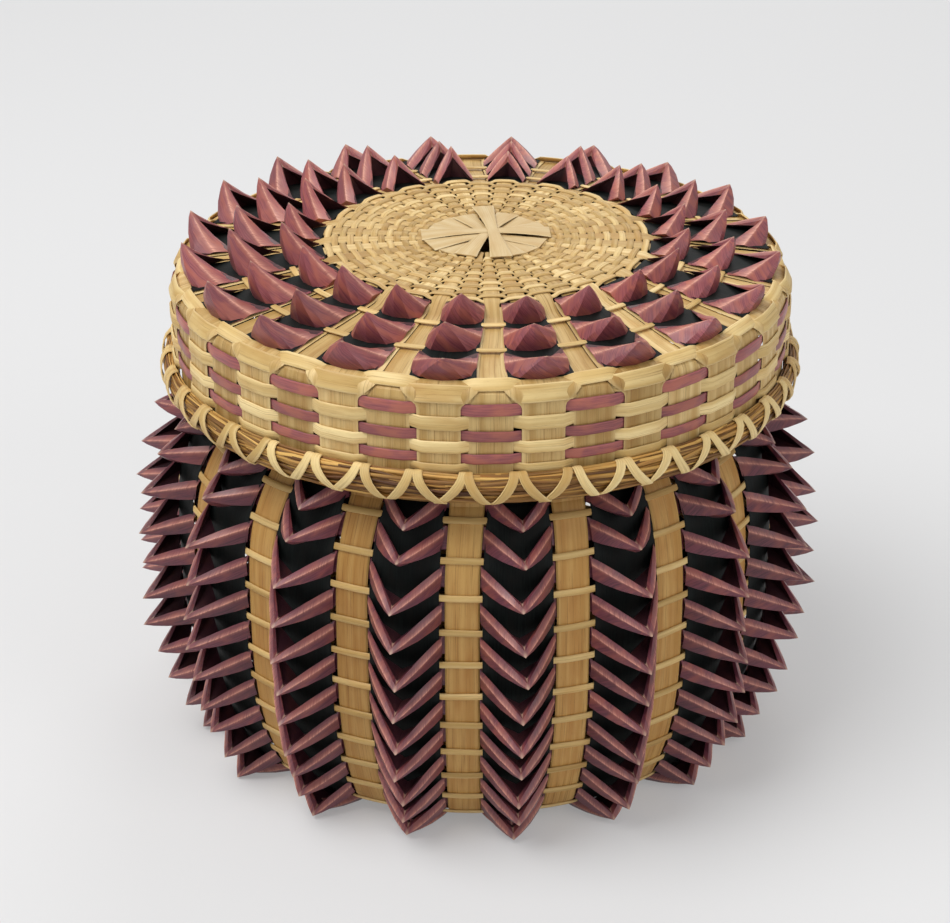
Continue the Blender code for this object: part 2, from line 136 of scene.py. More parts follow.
class Part:
    def __init__(self):
        self.points, self.faces, self.places, self.marks = [], [], [], []
        self.count = 0

    def add(self, points, places, marks, faces):
        self.points.append(np.asarray(points, float).reshape(-1, 3))
        self.places.append(np.asarray(places, float).reshape(-1, 2))
        self.marks.append(np.asarray(marks, float).reshape(-1, 3))
        self.faces += [tuple(int(corner) + self.count for corner in face) for face in faces]
        self.count += len(self.points[-1])

    def mesh(self, name):
        mesh = bpy.data.meshes.new(name)
        mesh.from_pydata(np.concatenate(self.points) * mm, [], self.faces)
        corners = np.empty(len(mesh.loops), np.int32)
        mesh.loops.foreach_get("vertex_index", corners)
        layer = mesh.uv_layers.new(name="UVMap")
        layer.data.foreach_set("uv", np.concatenate(self.places)[corners].astype(np.float32).ravel())
        marks = np.concatenate(self.marks).astype(np.float32)
        for index, label in enumerate(("across", "crease", "tip")):
            mesh.attributes.new(label, "FLOAT", "POINT").data.foreach_set("value", marks[:, index].copy())
        shape = bmesh.new()
        shape.from_mesh(mesh)
        bmesh.ops.recalc_face_normals(shape, faces=shape.faces)
        shape.to_mesh(mesh)
        shape.free()
        mesh.shade_smooth()
        mesh.set_sharp_from_angle(angle=radians(22))
        return mesh


# The cut of a flat splint: a crowned face, softened edges and a flat back
splintCut = [(-0.9, 0.5, 0), (-0.5, 0.5, 0.75), (0.0, 0.5, 1), (0.5, 0.5, 0.75), (0.9, 0.5, 0),
             (1.0, 0.0, 0), (0.88, -0.5, 0), (-0.88, -0.5, 0), (-1.0, 0.0, 0)]


def addRibbon(part, path, outs, widths, thickness, crown=0.0):
    path, outs = np.asarray(path, float), np.asarray(outs, float)
    count, cut = len(path), len(splintCut)
    widths = np.broadcast_to(np.asarray(widths, float), count)
    along = np.gradient(path, axis=0)
    side = np.cross(along, outs)
    side /= np.linalg.norm(side, axis=1)[:, None]
    outs = np.cross(side, along)
    outs /= np.linalg.norm(outs, axis=1)[:, None]
    lengths = lengthsAlong(path)
    points = np.empty((count, cut, 3))
    places = np.empty((count, cut, 2))
    marks = np.zeros((count, cut, 3))
    for index, (across, up, swell) in enumerate(splintCut):
        sideways = across * widths / 2
        points[:, index] = path + side * sideways[:, None] + outs * (up * thickness + swell * crown)
        places[:, index] = np.stack([lengths, sideways], 1)
        marks[:, index, 0] = across
    faces = [(i + j, i + (j + 1) % cut, i + cut + (j + 1) % cut, i + cut + j)
             for i in range(0, (count - 1) * cut, cut) for j in range(cut)]
    faces += [tuple(range(cut)), tuple((count - 1) * cut + j for j in reversed(range(cut)))]
    part.add(points, places, marks, faces)


def addSplint(part, path, widths, thickness, crown):
    # A splint at the front that follows a path of (radius, height)
    points, outs = (turned(np.insert(line, 0, 0.0, axis=1), 0.0) for line in (path, normalsOf(path)))
    addRibbon(part, points, outs, widths, thickness, crown)


# How far the hollow of a fold lies inside its outer shape, as (sideways, down, out), and where the cuts
# across a fold are, from its tip to its root
foldInsets = {"none": (0, 0, 0), "notch": (0, 0.85, 1.0), "innerTip": (0, 1.3, 2.4), "innerFoot": (0, 0.9, 0.2),
              "innerTop": (0.15, -0.1, -0.4), "innerHinge": (0.5, 0.5, -0.5)}
foldStations = (0.2, 0.5, 0.8, 1.0)


def foldFrame(spot, normal):
    # A point, the way down the wall or the slope, and the way out of it, as (radius, height)
    return spot, np.array([normal[1], -normal[0]]), np.array(normal)


def addFold(part, rootFrame, tipFrame, halfGap, root, foot, tip, swells, turn):
    # A folded point. Rails run from its tip to the strip at both sides and to the foot of its fold.
    # root lists their ends as (share of half the gap, down, out); foot and tip are (down, out).
    creaseRail, hinge = 1, 2

    def spotAt(frameUsed, spot, inset="none"):
        point, down, outward = frameUsed
        side, fall, out = np.subtract(spot, foldInsets[inset])
        radius, height = point + down * fall + outward * out
        return np.array([side, radius, height])

    tipSpot, notch, innerTip = (spotAt(tipFrame, (0, *tip), inset) for inset in ("none", "notch", "innerTip"))
    footSpot, innerFoot = (spotAt(tipFrame, (0, *foot), inset) for inset in ("none", "innerFoot"))
    ends = [(share * halfGap, fall, out) for share, fall, out in root]
    rails = [spotAt(rootFrame, end) for end in ends] + [footSpot]
    inner = [spotAt(rootFrame, ends[0], "innerTop"), spotAt(rootFrame, ends[hinge], "innerHinge"), innerFoot]
    falls = np.concatenate([[0], np.cumsum([np.linalg.norm(b - a) for a, b in zip(rails, rails[1:])])])
    centre = len(rails) - 1
    sides = [(rail, 1) for rail in range(centre + 1)] + [(rail, -1) for rail in reversed(range(centre))]
    innerSides = [(0, 1), (1, 1), (2, 1), (1, -1), (0, -1)]
    flip = lambda spot, side: spot * np.array([side, 1, 1])
    out3 = lambda fall, out: np.array([0, *(tipFrame[1] * fall + tipFrame[2] * out)])

    spots, places = [tipSpot, innerTip, notch], [(0, 0)] * 3
    marks, faces = [(0, 0.8, 1), (1, 0, 1), (0, 0.8, 0.95)], []
    for rail, side in sides:
        top = notch if rail == 0 else tipSpot
        swellSide, swellFall, swellOut = swells[rail]
        swell = out3(swellFall, swellOut) + np.array([swellSide, 0, 0])
        length = np.linalg.norm(rails[rail] - top)
        fall = falls[rail] if side > 0 else 2 * falls[-1] - falls[rail]
        for share in foldStations:
            spots.append(flip(top + (rails[rail] - top) * share + swell * (4 * share * (1 - share)), side))
            places.append(((1 - share) * length, fall * (0.45 + 0.55 * share)))
            # The crease mark, full on the crease rail, strong along the folded top edge and near the tip, is where the
            # finish paints its coppery crease, partly wear and partly painted highlight
            strong = 1.0 if rail == creaseRail else 0.7 if rail == 0 else 0.0
            marks.append((0, max(strong, 0.6 - share * 3), 1 - share))
    for rail, side in innerSides:
        fall = falls[min(rail * 2, centre)]
        for share in foldStations:
            spots.append(flip(innerTip + (inner[rail] - innerTip) * share, side))
            places.append(((1 - share) * 10, fall if side > 0 else 2 * falls[-1] - fall))
            # across 1 marks the hollow, which the finish paints dark as painted shade
            marks.append((1, 0, 1 - share))
    steps, outerCount, innerCount = len(foldStations), len(sides), len(innerSides)
    outer = lambda rail, step: 3 + rail * steps + step
    hollow = lambda rail, step: 3 + (outerCount + rail) * steps + step
    spans = range(steps - 1)
    for a, b in zip(range(outerCount - 1), range(1, outerCount)):
        faces.append((0, outer(a, 0), outer(b, 0)))
        faces += [(outer(a, s), outer(a, s + 1), outer(b, s + 1), outer(b, s)) for s in spans]
    for a, b in zip(range(innerCount - 1), range(1, innerCount)):
        faces.append((1, hollow(b, 0), hollow(a, 0)))
        faces += [(hollow(b, s), hollow(b, s + 1), hollow(a, s + 1), hollow(a, s)) for s in spans]
    faces += [(0, 2, outer(0, 0)), (0, outer(outerCount - 1, 0), 2)]
    for a, b in ((0, 0), (outerCount - 1, innerCount - 1)):
        faces.append((2, 1, hollow(b, 0), outer(a, 0)))
        faces += [(outer(a, s), hollow(b, s), hollow(b, s + 1), outer(a, s + 1)) for s in spans]
    bounds = (0, hinge, centre, outerCount - 1 - hinge, outerCount - 1)
    for rail, (low, high) in enumerate(zip(bounds, bounds[1:])):  # the ends, from the outer rails to the hollow
        rim = [outer(spot, steps - 1) for spot in range(low, high + 1)]
        faces.append(rim + [hollow(rail + 1, steps - 1), hollow(rail, steps - 1)])
    part.add(turned(spots, turn), places, marks, faces)


# Short ways to add and link nodes, for the trees and the finishes alike


class Wiring:
    def __init__(self, tree):
        self.tree = tree

    def node(self, kind, inputs=None, **settings):
        made = self.tree.nodes.new(kind)
        for label, value in settings.items():
            setattr(made, label, value)
        for key, value in (inputs or {}).items():
            self.put(made.inputs[key], value)
        return made

    def put(self, socket, value):
        if isinstance(value, bpy.types.Node):
            value = value.outputs[0]
        if isinstance(value, bpy.types.NodeSocket):
            self.tree.links.new(value, socket)
        else:
            socket.default_value = value

    def math(self, what, *values):
        return self.node("ShaderNodeMath", dict(enumerate(values)), operation=what).outputs[0]

    def add(self, a, b):
        return self.math("ADD", a, b)

    def minus(self, a, b):
        return self.math("SUBTRACT", a, b)

    def times(self, a, b):
        return self.math("MULTIPLY", a, b)

    def combine(self, x=0.0, y=0.0, z=0.0):
        return self.node("ShaderNodeCombineXYZ", {0: x, 1: y, 2: z}).outputs[0]

    def ranged(self, value, low, high, newLow=0.0, newHigh=1.0, smooth=True):
        kind = "SMOOTHSTEP" if smooth else "LINEAR"
        return self.node("ShaderNodeMapRange", {0: value, 1: low, 2: high, 3: newLow, 4: newHigh},
                         interpolation_type=kind).outputs[0]

    def noise(self, place, scale=1.0, detail=2.0, rough=0.5):
        settings = {"Vector": place, "Scale": scale, "Detail": detail, "Roughness": rough}
        return self.node("ShaderNodeTexNoise", settings).outputs[0]

    def signedPower(self, value, power):
        return self.times(self.math("SIGN", value), self.math("POWER", self.math("ABSOLUTE", value), power))

    def circle(self, turn, size, height, front=1.0):
        across = self.times(self.math("COSINE", turn), front)
        return self.combine(self.times(size, self.math("SINE", turn)), self.times(size, across), height)

    def wander(self, turn, size, layer, reach):
        # A noise that closes on itself round the basket
        return self.times(self.minus(self.noise(self.circle(turn, size, layer)), 0.5), reach)

    def unrolled(self):
        # A flat grid's own place as a turn round the basket and an angle round the cut of a splint
        flat = self.node("ShaderNodeSeparateXYZ", {0: self.node("GeometryNodeInputPosition")})
        return [self.times(self.add(flat.outputs[axis], 0.5), full) for axis, full in ((0, 2 * pi), (1, -2 * pi))]

    def vector(self, what, first, second):
        key = "Scale" if what == "SCALE" else 1
        return self.node("ShaderNodeVectorMath", {0: first, key: second}, operation=what).outputs[0]

    def store(self, geometry, name, value, kind="FLOAT", domain="POINT"):
        stored = self.node("GeometryNodeStoreNamedAttribute", data_type=kind, domain=domain)
        self.put(stored.inputs["Geometry"], geometry)
        self.put(stored.inputs["Name"], name)
        self.put(stored.inputs["Value"], value)
        return stored.outputs[0]

    def named(self, name, kind="FLOAT"):
        return self.node("GeometryNodeInputNamedAttribute", {"Name": name}, data_type=kind).outputs[0]

    def random(self, low, high, seed, kind="FLOAT"):
        made = self.node("FunctionNodeRandomValue", data_type=kind)
        sockets = [socket for socket in made.inputs if socket.enabled]
        for socket, value in zip(sockets, (low, high)):
            self.put(socket, value)
        self.put(made.inputs["Seed"], seed)
        return [socket for socket in made.outputs if socket.enabled][0]


def newTree(name, inputs):
    tree = bpy.data.node_groups.new(name, "GeometryNodeTree")
    tree.interface.new_socket("Geometry", in_out="OUTPUT", socket_type="NodeSocketGeometry")
    tree.interface.new_socket("Geometry", in_out="INPUT", socket_type="NodeSocketGeometry")
    kinds = {float: "NodeSocketFloat", int: "NodeSocketInt"}
    for label, value in inputs.items():
        socket = tree.interface.new_socket(label, in_out="INPUT", socket_type=kinds[type(value)])
        socket.default_value = value
    tree.interface.new_socket("Finish", in_out="INPUT", socket_type="NodeSocketMaterial")
    wiring = Wiring(tree)
    given = wiring.node("NodeGroupInput").outputs
    return tree, wiring, given


def endTree(wiring, geometry, given, smooth=False):
    if smooth:
        geometry = wiring.node("GeometryNodeSetShadeSmooth", {0: geometry}).outputs[0]
    real = wiring.node("GeometryNodeRealizeInstances", {0: geometry})
    dressed = wiring.node("GeometryNodeSetMaterial", {"Geometry": real, "Material": given["Finish"]})
    wiring.node("NodeGroupOutput", {"Geometry": dressed})


def turnedCopiesTree():
    tree, w, given = newTree("turned copies", {"Count": 18, "First turn": 0.0, "Turn spread": 0.0, "Drift": 0.0,
                                                "Lift": 0.0, "Lift turn": 0.0, "Lift lean": -0.2, "Seed": 1})
    spots = w.node("GeometryNodePoints", {"Count": given["Count"]})
    index = w.node("GeometryNodeInputIndex")
    step = w.math("DIVIDE", 2 * pi, given["Count"])
    turn = w.add(given["First turn"], w.times(index, step))
    turn = w.add(turn, w.times(w.random(-1.0, 1.0, given["Seed"]), given["Turn spread"]))
    copies = w.node("GeometryNodeInstanceOnPoints",
                    {"Points": spots, "Instance": given["Geometry"], "Rotation": w.combine(z=turn)})
    geometry = w.store(copies, "shade", w.random(0.0, 1.0, w.add(given["Seed"], 7)), domain="INSTANCE")
    drift = w.random((-1.0, -1.0, -1.0), (1.0, 1.0, 1.0), w.add(given["Seed"], 19), "FLOAT_VECTOR")
    geometry = w.store(geometry, "drift", drift, "FLOAT_VECTOR", "INSTANCE")
    lift = w.times(w.math("MAXIMUM", w.math("COSINE", w.minus(turn, given["Lift turn"])), 0.0), given["Lift"])
    outward = w.times(lift, given["Lift lean"])
    push = w.circle(turn, outward, lift, -1.0)
    geometry = w.store(geometry, "push", push, "FLOAT_VECTOR", "INSTANCE")
    real = w.node("GeometryNodeRealizeInstances", {0: geometry})
    nearTip = w.math("POWER", w.named("tip"), 1.5)
    wandered = w.vector("SCALE", w.named("drift", "FLOAT_VECTOR"), w.times(nearTip, given["Drift"]))
    pushed = w.vector("SCALE", w.named("push", "FLOAT_VECTOR"), nearTip)
    offset = w.vector("ADD", wandered, pushed)
    moved = w.node("GeometryNodeSetPosition", {"Geometry": real, "Offset": offset})
    endTree(w, moved, given)
    return tree


def weaverRingTree():
    # A flat weaver that goes round, over some splints and under the ones between them
    tree, w, given = newTree("weaver ring", {
        "Radius": 0.06, "Height": 0.05, "Slope": 0.0, "Pairs": 18, "First turn": 0.0, "Over": 0.0006, "Under": 0.0,
        "Sharpness": 0.6, "Width": 0.0015, "Pinch": 0.0, "Thickness": 0.0005, "Crown": 0.0, "Wobble": 0.0, "Steps": 12,
        "Sides": 10, "Shade": 0.5, "Seed": 1})
    around = w.add(w.times(given["Pairs"], given["Steps"]), 1)
    grid = w.node("GeometryNodeMeshGrid", {0: 1.0, 1: 1.0, 2: around, 3: w.add(given["Sides"], 1)})
    turn, cut = w.unrolled()
    turn = w.add(turn, w.add(given["First turn"], pi))  # its ends meet at the back
    wave = w.math("COSINE", w.times(w.minus(turn, given["First turn"]), given["Pairs"]))
    rise = w.ranged(wave, w.times(given["Sharpness"], -1.0), given["Sharpness"])
    level = w.add(given["Under"], w.times(w.minus(given["Over"], given["Under"]), rise))
    wobble = w.wander(turn, 5.0, w.times(given["Seed"], 3.7), given["Wobble"])
    share = w.signedPower(w.math("COSINE", cut), 0.35)
    slimmed = w.minus(1.0, w.times(w.minus(1.0, rise), given["Pinch"]))
    across = w.times(share, w.times(w.times(given["Width"], slimmed), 0.5))
    face = w.math("SINE", cut)
    swell = w.times(w.minus(1.0, w.times(share, share)), w.times(given["Crown"], w.ranged(face, 0.0, 0.4)))
    out = w.add(level, w.add(w.times(w.signedPower(face, 0.7), w.times(given["Thickness"], 0.5)), swell))
    sideways = w.add(across, wobble)
    lean, tilt = w.math("SINE", given["Slope"]), w.math("COSINE", given["Slope"])
    radius = w.add(given["Radius"], w.minus(w.times(out, tilt), w.times(sideways, lean)))
    height = w.add(given["Height"], w.add(w.times(out, lean), w.times(sideways, tilt)))
    place = w.combine(w.times(w.times(turn, given["Radius"]), 1 / mm), w.times(across, 1 / mm))
    geometry = w.store(grid, "UVMap", place, "FLOAT2", "CORNER")
    geometry = w.store(geometry, "across", share)
    geometry = w.store(geometry, "shade", given["Shade"])
    moved = w.node("GeometryNodeSetPosition", {"Geometry": geometry, "Position": w.circle(turn, radius, height, -1.0)})
    joined = w.node("GeometryNodeMergeByDistance", {"Geometry": moved, "Distance": 0.004 * mm})
    endTree(w, joined, given, smooth=True)
    return tree


def grassBundleTree():
    # Loose blades that run round inside an oval bundle and drift across it as they go
    tree, w, given = newTree("grass bundle", {
        "Radius": 0.068, "Height": 0.088, "Half depth": 0.0012, "Half height": 0.003, "Blades": 50,
        "Blade width": 0.0009, "Steps": 110, "Seed": 1})
    strip = w.node("GeometryNodeMeshGrid", {0: 1.0, 1: 1.0, 2: w.add(given["Steps"], 1), 3: 5})
    spots = w.node("GeometryNodePoints", {"Count": given["Blades"]})
    copies = w.node("GeometryNodeInstanceOnPoints", {"Points": spots, "Instance": strip})
    geometry = copies
    for step, label, low, high, power in ((3, "shade", 0.0, 1.0, 1.0), (11, "bundleTurn", 0.0, 2 * pi, 1.0),
                                          (17, "bundleShare", 0.15, 1.0, 0.4), (23, "bladeSize", 0.7, 1.3, 1.0)):
        value = w.math("POWER", w.random(low, high, w.add(given["Seed"], step)), power)
        geometry = w.store(geometry, label, value, domain="INSTANCE")
    real = w.node("GeometryNodeRealizeInstances", {0: geometry})
    turn, cut = w.unrolled()
    slant = w.add(w.named("bundleTurn"), w.wander(turn, 2.2, w.times(w.named("shade"), 40.0), 3.2))
    reach = w.named("bundleShare")
    width = w.times(w.times(given["Blade width"], w.named("bladeSize")), 0.5)
    depth = w.times(w.math("COSINE", slant), w.times(reach, given["Half depth"]))
    rise = w.times(w.math("SINE", slant), w.times(reach, given["Half height"]))
    radius = w.add(given["Radius"], w.add(depth, w.times(w.math("SINE", cut), w.times(width, 0.45))))
    height = w.add(given["Height"], w.add(rise, w.times(w.math("COSINE", cut), width)))
    place = w.combine(w.times(w.times(turn, given["Radius"]), 1 / mm),
                      w.times(w.math("COSINE", cut), w.times(width, 1 / mm)))
    geometry = w.store(real, "UVMap", place, "FLOAT2", "CORNER")
    moved = w.node("GeometryNodeSetPosition", {"Geometry": geometry, "Position": w.circle(turn, radius, height, -1.0)})
    joined = w.node("GeometryNodeMergeByDistance", {"Geometry": moved, "Distance": 0.002 * mm})
    endTree(w, joined, given, smooth=True)
    return tree


def grow(name, mesh, tree, values):
    seedObject = bpy.data.objects.new(name + "_seed", mesh)
    bpy.context.scene.collection.objects.link(seedObject)
    modifier = seedObject.modifiers.new("Grow", "NODES")
    modifier.node_group = tree
    for item in tree.interface.items_tree:
        if item.item_type == "SOCKET" and item.in_out == "INPUT" and item.name in values:
            modifier[item.identifier] = values[item.name]
    graph = bpy.context.evaluated_depsgraph_get()
    made = bpy.data.meshes.new_from_object(seedObject.evaluated_get(graph))
    made.name = name
    seedObject.modifiers.remove(modifier)
    bpy.data.objects.remove(seedObject)
    obj = bpy.data.objects.new(name, made)
    bpy.context.scene.collection.objects.link(obj)
    return obj


def joined(name, objects):
    if len(objects) > 1:
        with bpy.context.temp_override(active_object=objects[0], object=objects[0], selected_objects=objects,
                                       selected_editable_objects=objects):
            bpy.ops.object.join()
    objects[0].name = name
    return objects[0]


# Woven by eye: the disc sits a little to the right of the middle, and the belly a little to the left.
# The shift sets in between two radii on the lid and between two heights on the wall.
byHand = {"lid": {"shift": 1.3, "from": 60.0, "to": 38.0}, "basket": {"shift": -0.9, "from": 84.0, "to": 62.0}}


def seat(obj, body, slot, *nodes):
    hand = byHand[body]
    spots = np.empty(len(obj.data.vertices) * 3, np.float32)
    obj.data.vertices.foreach_get("co", spots)
    spots = spots.reshape(-1, 3)
    places = (np.hypot(spots[:, 0], spots[:, 1]) if body == "lid" else spots[:, 2]) / mm
    share = np.clip((hand["from"] - places) / (hand["from"] - hand["to"]), 0, 1)
    spots[:, 0] += hand["shift"] * mm * share * share * (3 - 2 * share)
    obj.data.vertices.foreach_set("co", spots.ravel())
    obj.data.update()
    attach(obj, body)
    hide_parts(*nodes)


# Finishes


def marked(w, name):
    return w.node("ShaderNodeAttribute", attribute_name=name).outputs["Fac"]


def newFinish(name):
    material = bpy.data.materials.new(name)
    material.use_nodes = True
    w = Wiring(material.node_tree)
    shader = material.node_tree.nodes["Principled BSDF"]
    place = w.node("ShaderNodeUVMap", uv_map="UVMap")
    shade = marked(w, "shade")
    own = w.combine(w.times(shade, 91.0), w.times(shade, 37.0), w.times(shade, 5.0))
    moved = w.vector("ADD", place, own)
    return material, w, shader, moved, shade


def stretched(w, place, along, across):
    return w.node("ShaderNodeMapping", {"Vector": place, "Scale": (along, across, 1.0)}).outputs[0]


def blended(w, share, first, second, kind="MIX"):
    mix = w.node("ShaderNodeMix", data_type="RGBA", blend_type=kind)
    w.put(mix.inputs[0], share)
    w.put(mix.inputs[6], (*first, 1.0) if isinstance(first, tuple) else first)
    w.put(mix.inputs[7], (*second, 1.0) if isinstance(second, tuple) else second)
    return mix.outputs[2]


def addBump(w, shader, height, depth):
    bump = w.node("ShaderNodeBump", {"Height": height, "Distance": depth * mm, "Strength": 1.0})
    w.put(shader.inputs["Normal"], bump)


def splintFinish(name, colours, grain, spread=0.11):
    # Split wood: long fibres, broader bands of growth, and paler edges
    material, w, shader, place, shade = newFinish(name)
    fibres = w.noise(stretched(w, place, 0.05, 4.2), 1.0, 4.0, 0.65)
    bands = w.noise(stretched(w, place, 0.02, 0.55), 1.0, 2.0)
    flecks = w.noise(stretched(w, place, 0.5, 7.0), 1.0, 2.0)
    patches = w.noise(stretched(w, place, 0.09, 0.3), 1.0, 2.0)
    colour = blended(w, w.ranged(bands, 0.35, 0.65), colours["pale"], colours["deep"])
    colour = blended(w, w.times(w.ranged(patches, 0.45, 0.75), 0.55), colour, colours["warm"])
    colour = blended(w, w.times(w.ranged(fibres, 0.52, 0.72), grain), colour, colours["streak"])
    colour = blended(w, w.times(w.ranged(flecks, 0.62, 0.78), grain * 0.6), colour, colours["streak"])
    tone = w.ranged(shade, 0.0, 1.0, 0.97 - spread, 0.97 + spread, False)  # the darker ones are warmer too
    tint = w.combine(tone, w.math("POWER", tone, 1.25), w.math("POWER", tone, 1.8))
    colour = blended(w, 1.0, colour, tint, "MULTIPLY")
    edge = w.ranged(w.math("ABSOLUTE", marked(w, "across")), 0.82, 1.0)
    colour = blended(w, w.times(edge, 0.35), colour, colours["edge"])
    w.put(shader.inputs["Base Color"], colour)
    w.put(shader.inputs["Roughness"], w.ranged(fibres, 0.3, 0.7, 0.42, 0.62, False))
    addBump(w, shader, w.add(fibres, w.times(flecks, 0.4)), 0.07)
    shader.inputs["Specular IOR Level"].default_value = 0.4
    return material


def dyedFinish(name, colours, depth, gloss, sheen):
    # Dyed splint: fine streaks along it, ticks where it bends, coppery creases that are partly wear and partly painted
    # highlight, and nearly black hollows and edges, which in the hollows of folds is painted shade
    material, w, shader, place, shade = newFinish(name)
    fibres = w.noise(stretched(w, place, 0.16, 3.4), 1.0, 4.0, 0.6)
    ticks = w.noise(stretched(w, place, 3.4, 0.35), 1.0, 3.0, 0.6)
    patches = w.noise(stretched(w, place, 0.2, 0.35), 1.0, 2.0)
    colour = blended(w, w.ranged(fibres, 0.36, 0.66), colours["deep"], colours["pale"])
    colour = blended(w, w.times(w.ranged(patches, 0.42, 0.68), 0.7), colour, colours["warm"])
    tone = w.ranged(shade, 0.0, 1.0, 0.82, 1.16, False)
    colour = blended(w, 1.0, colour, w.combine(tone, tone, tone), "MULTIPLY")
    crease = marked(w, "crease")
    # Along the crease the colour turns warm, then coppery: partly wear where the fold rubs, partly painted highlight
    creaseWearAndHighlight = w.times(w.math("POWER", crease, 12.0), w.ranged(ticks, 0.3, 0.6, 0.3, 1.0))
    colour = blended(w, w.times(w.math("POWER", crease, 3.0), 0.3), colour, colours["warm"])
    colour = blended(w, creaseWearAndHighlight, colour, colours["creaseWearAndHighlight"])
    colour = blended(w, w.times(w.ranged(marked(w, "tip"), 0.93, 1.0), 0.7), colour, colours["tip"])
    # Across near 1 marks the hollow inside a fold, painted nearly black as painted shade; the side edges of dyed
    # strips, also near 1, go darker too
    inside = w.ranged(w.math("ABSOLUTE", marked(w, "across")), 0.9, 1.0)
    colour = blended(w, w.times(inside, 0.8), colour, colours["inside"])
    w.put(shader.inputs["Base Color"], colour)
    w.put(shader.inputs["Roughness"], w.ranged(fibres, 0.3, 0.7, gloss - 0.08, gloss + 0.08, False))
    addBump(w, shader, w.add(fibres, w.times(ticks, 0.5)), depth)
    shader.inputs["Specular IOR Level"].default_value = 0.5 if sheen else 0.12
    shader.inputs["Sheen Weight"].default_value = sheen
    shader.inputs["Sheen Roughness"].default_value = 0.4
    shader.inputs["Sheen Tint"].default_value = (0.9, 0.45, 0.4, 1.0)
    return material


honeySplint = splintFinish("honey splint", {
    "pale": (0.56, 0.33, 0.098), "deep": (0.46, 0.235, 0.055), "warm": (0.41, 0.175, 0.032),
    "streak": (0.21, 0.088, 0.018), "edge": (0.60, 0.39, 0.13)}, 0.75, 0.16)
weaverSplint = splintFinish("weaver splint", {
    "pale": (0.70, 0.50, 0.21), "deep": (0.56, 0.36, 0.12), "warm": (0.50, 0.27, 0.07),
    "streak": (0.30, 0.16, 0.04), "edge": (0.76, 0.58, 0.29)}, 0.5, 0.2)
paleSplint = splintFinish("pale splint", {
    "pale": (0.67, 0.48, 0.205), "deep": (0.50, 0.315, 0.102), "warm": (0.44, 0.23, 0.056),
    "streak": (0.26, 0.13, 0.033), "edge": (0.76, 0.58, 0.29)}, 0.8, 0.26)
bandSplint = splintFinish("band splint", {
    "pale": (0.82, 0.625, 0.29), "deep": (0.66, 0.45, 0.165), "warm": (0.55, 0.31, 0.09),
    "streak": (0.33, 0.17, 0.045), "edge": (0.88, 0.72, 0.40)}, 0.7, 0.2)
centreSplint = splintFinish("centre splint", {
    "pale": (0.74, 0.58, 0.33), "deep": (0.64, 0.46, 0.215), "warm": (0.55, 0.34, 0.12),
    "streak": (0.40, 0.24, 0.09), "edge": (0.80, 0.66, 0.40)}, 0.5, 0.16)
# The wall's and the lid's plum are one dyed splint: the wall's copy is painted darker as painted shade, the lid's
# lighter as painted light, as the lid's top faces the light
shadedWallPurple = dyedFinish("shaded plum splint of the wall", {
    "deep": (0.080, 0.017, 0.031), "pale": (0.165, 0.038, 0.058), "warm": (0.26, 0.066, 0.054),
    "creaseWearAndHighlight": (0.66, 0.29, 0.21), "tip": (0.60, 0.40, 0.28), "inside": (0.016, 0.005, 0.008)}, 0.05, 0.4, 0.07)
litLidPurple = dyedFinish("lit plum splint of the lid", {
    "deep": (0.18, 0.042, 0.056), "pale": (0.32, 0.086, 0.096), "warm": (0.43, 0.125, 0.084),
    "creaseWearAndHighlight": (0.76, 0.38, 0.28), "tip": (0.64, 0.44, 0.31), "inside": (0.022, 0.007, 0.010)}, 0.05, 0.4, 0.1)
purpleBand = dyedFinish("plum weaver", {
    "deep": (0.24, 0.062, 0.070), "pale": (0.38, 0.108, 0.100), "warm": (0.46, 0.140, 0.088),
    "creaseWearAndHighlight": (0.56, 0.20, 0.17), "tip": (0.60, 0.42, 0.30), "inside": (0.10, 0.03, 0.04)}, 0.04, 0.42, 0.1)
blackSplint = dyedFinish("black splint", {
    "deep": (0.005, 0.006, 0.006), "pale": (0.010, 0.013, 0.012), "warm": (0.011, 0.010, 0.009),
    "creaseWearAndHighlight": (0.03, 0.03, 0.03), "tip": (0.03, 0.03, 0.03), "inside": (0.004, 0.005, 0.005)}, 0.05, 0.6, 0.0)
# The sweetgrass runs from pale to near-black streaks: partly the blades' own colour, partly painted highlight on the
# blades and painted shade of the gaps between them
grassFinish = splintFinish("sweetgrass blades", {
    "pale": (0.56, 0.31, 0.07), "deep": (0.17, 0.070, 0.013), "warm": (0.33, 0.115, 0.014),
    "streak": (0.030, 0.012, 0.004), "edge": (0.68, 0.45, 0.16)}, 0.95, 0.62)
print("basket: finishes ready")

turnedCopies = turnedCopiesTree()
weaverRing = weaverRingTree()
grassBundle = grassBundleTree()
print("basket: trees ready")

wallTurn, wallHalf = radians(wall["frontTurn"]), pi / wall["pairs"]
lidTurn, lidHalf = radians(lid["frontTurn"]), pi / lid["pairs"]
rounds = {"basket": (wall["pairs"], wallTurn, wallHalf), "lid": (lid["pairs"], lidTurn, lidHalf)}
ringLengths = ("Over", "Under", "Width", "Thickness", "Crown", "Wobble")
golden = 0.381966  # spreads the shades of neighbouring weavers


def copies(name, part, body, finish, seed, between=False, spread=0.0, drift=0.0, lift=0.0, liftTurn=0.0, count=None):
    # What the part holds, once for each pair of splints; between starts half a step further round
    pairs, turn, half = rounds[body]
    return grow(name, part.mesh(name), turnedCopies, {
        "Count": count or pairs, "First turn": turn + half * between, "Turn spread": radians(spread),
        "Drift": drift * mm, "Lift": lift * mm, "Lift turn": radians(liftTurn), "Seed": seed, "Finish": finish})


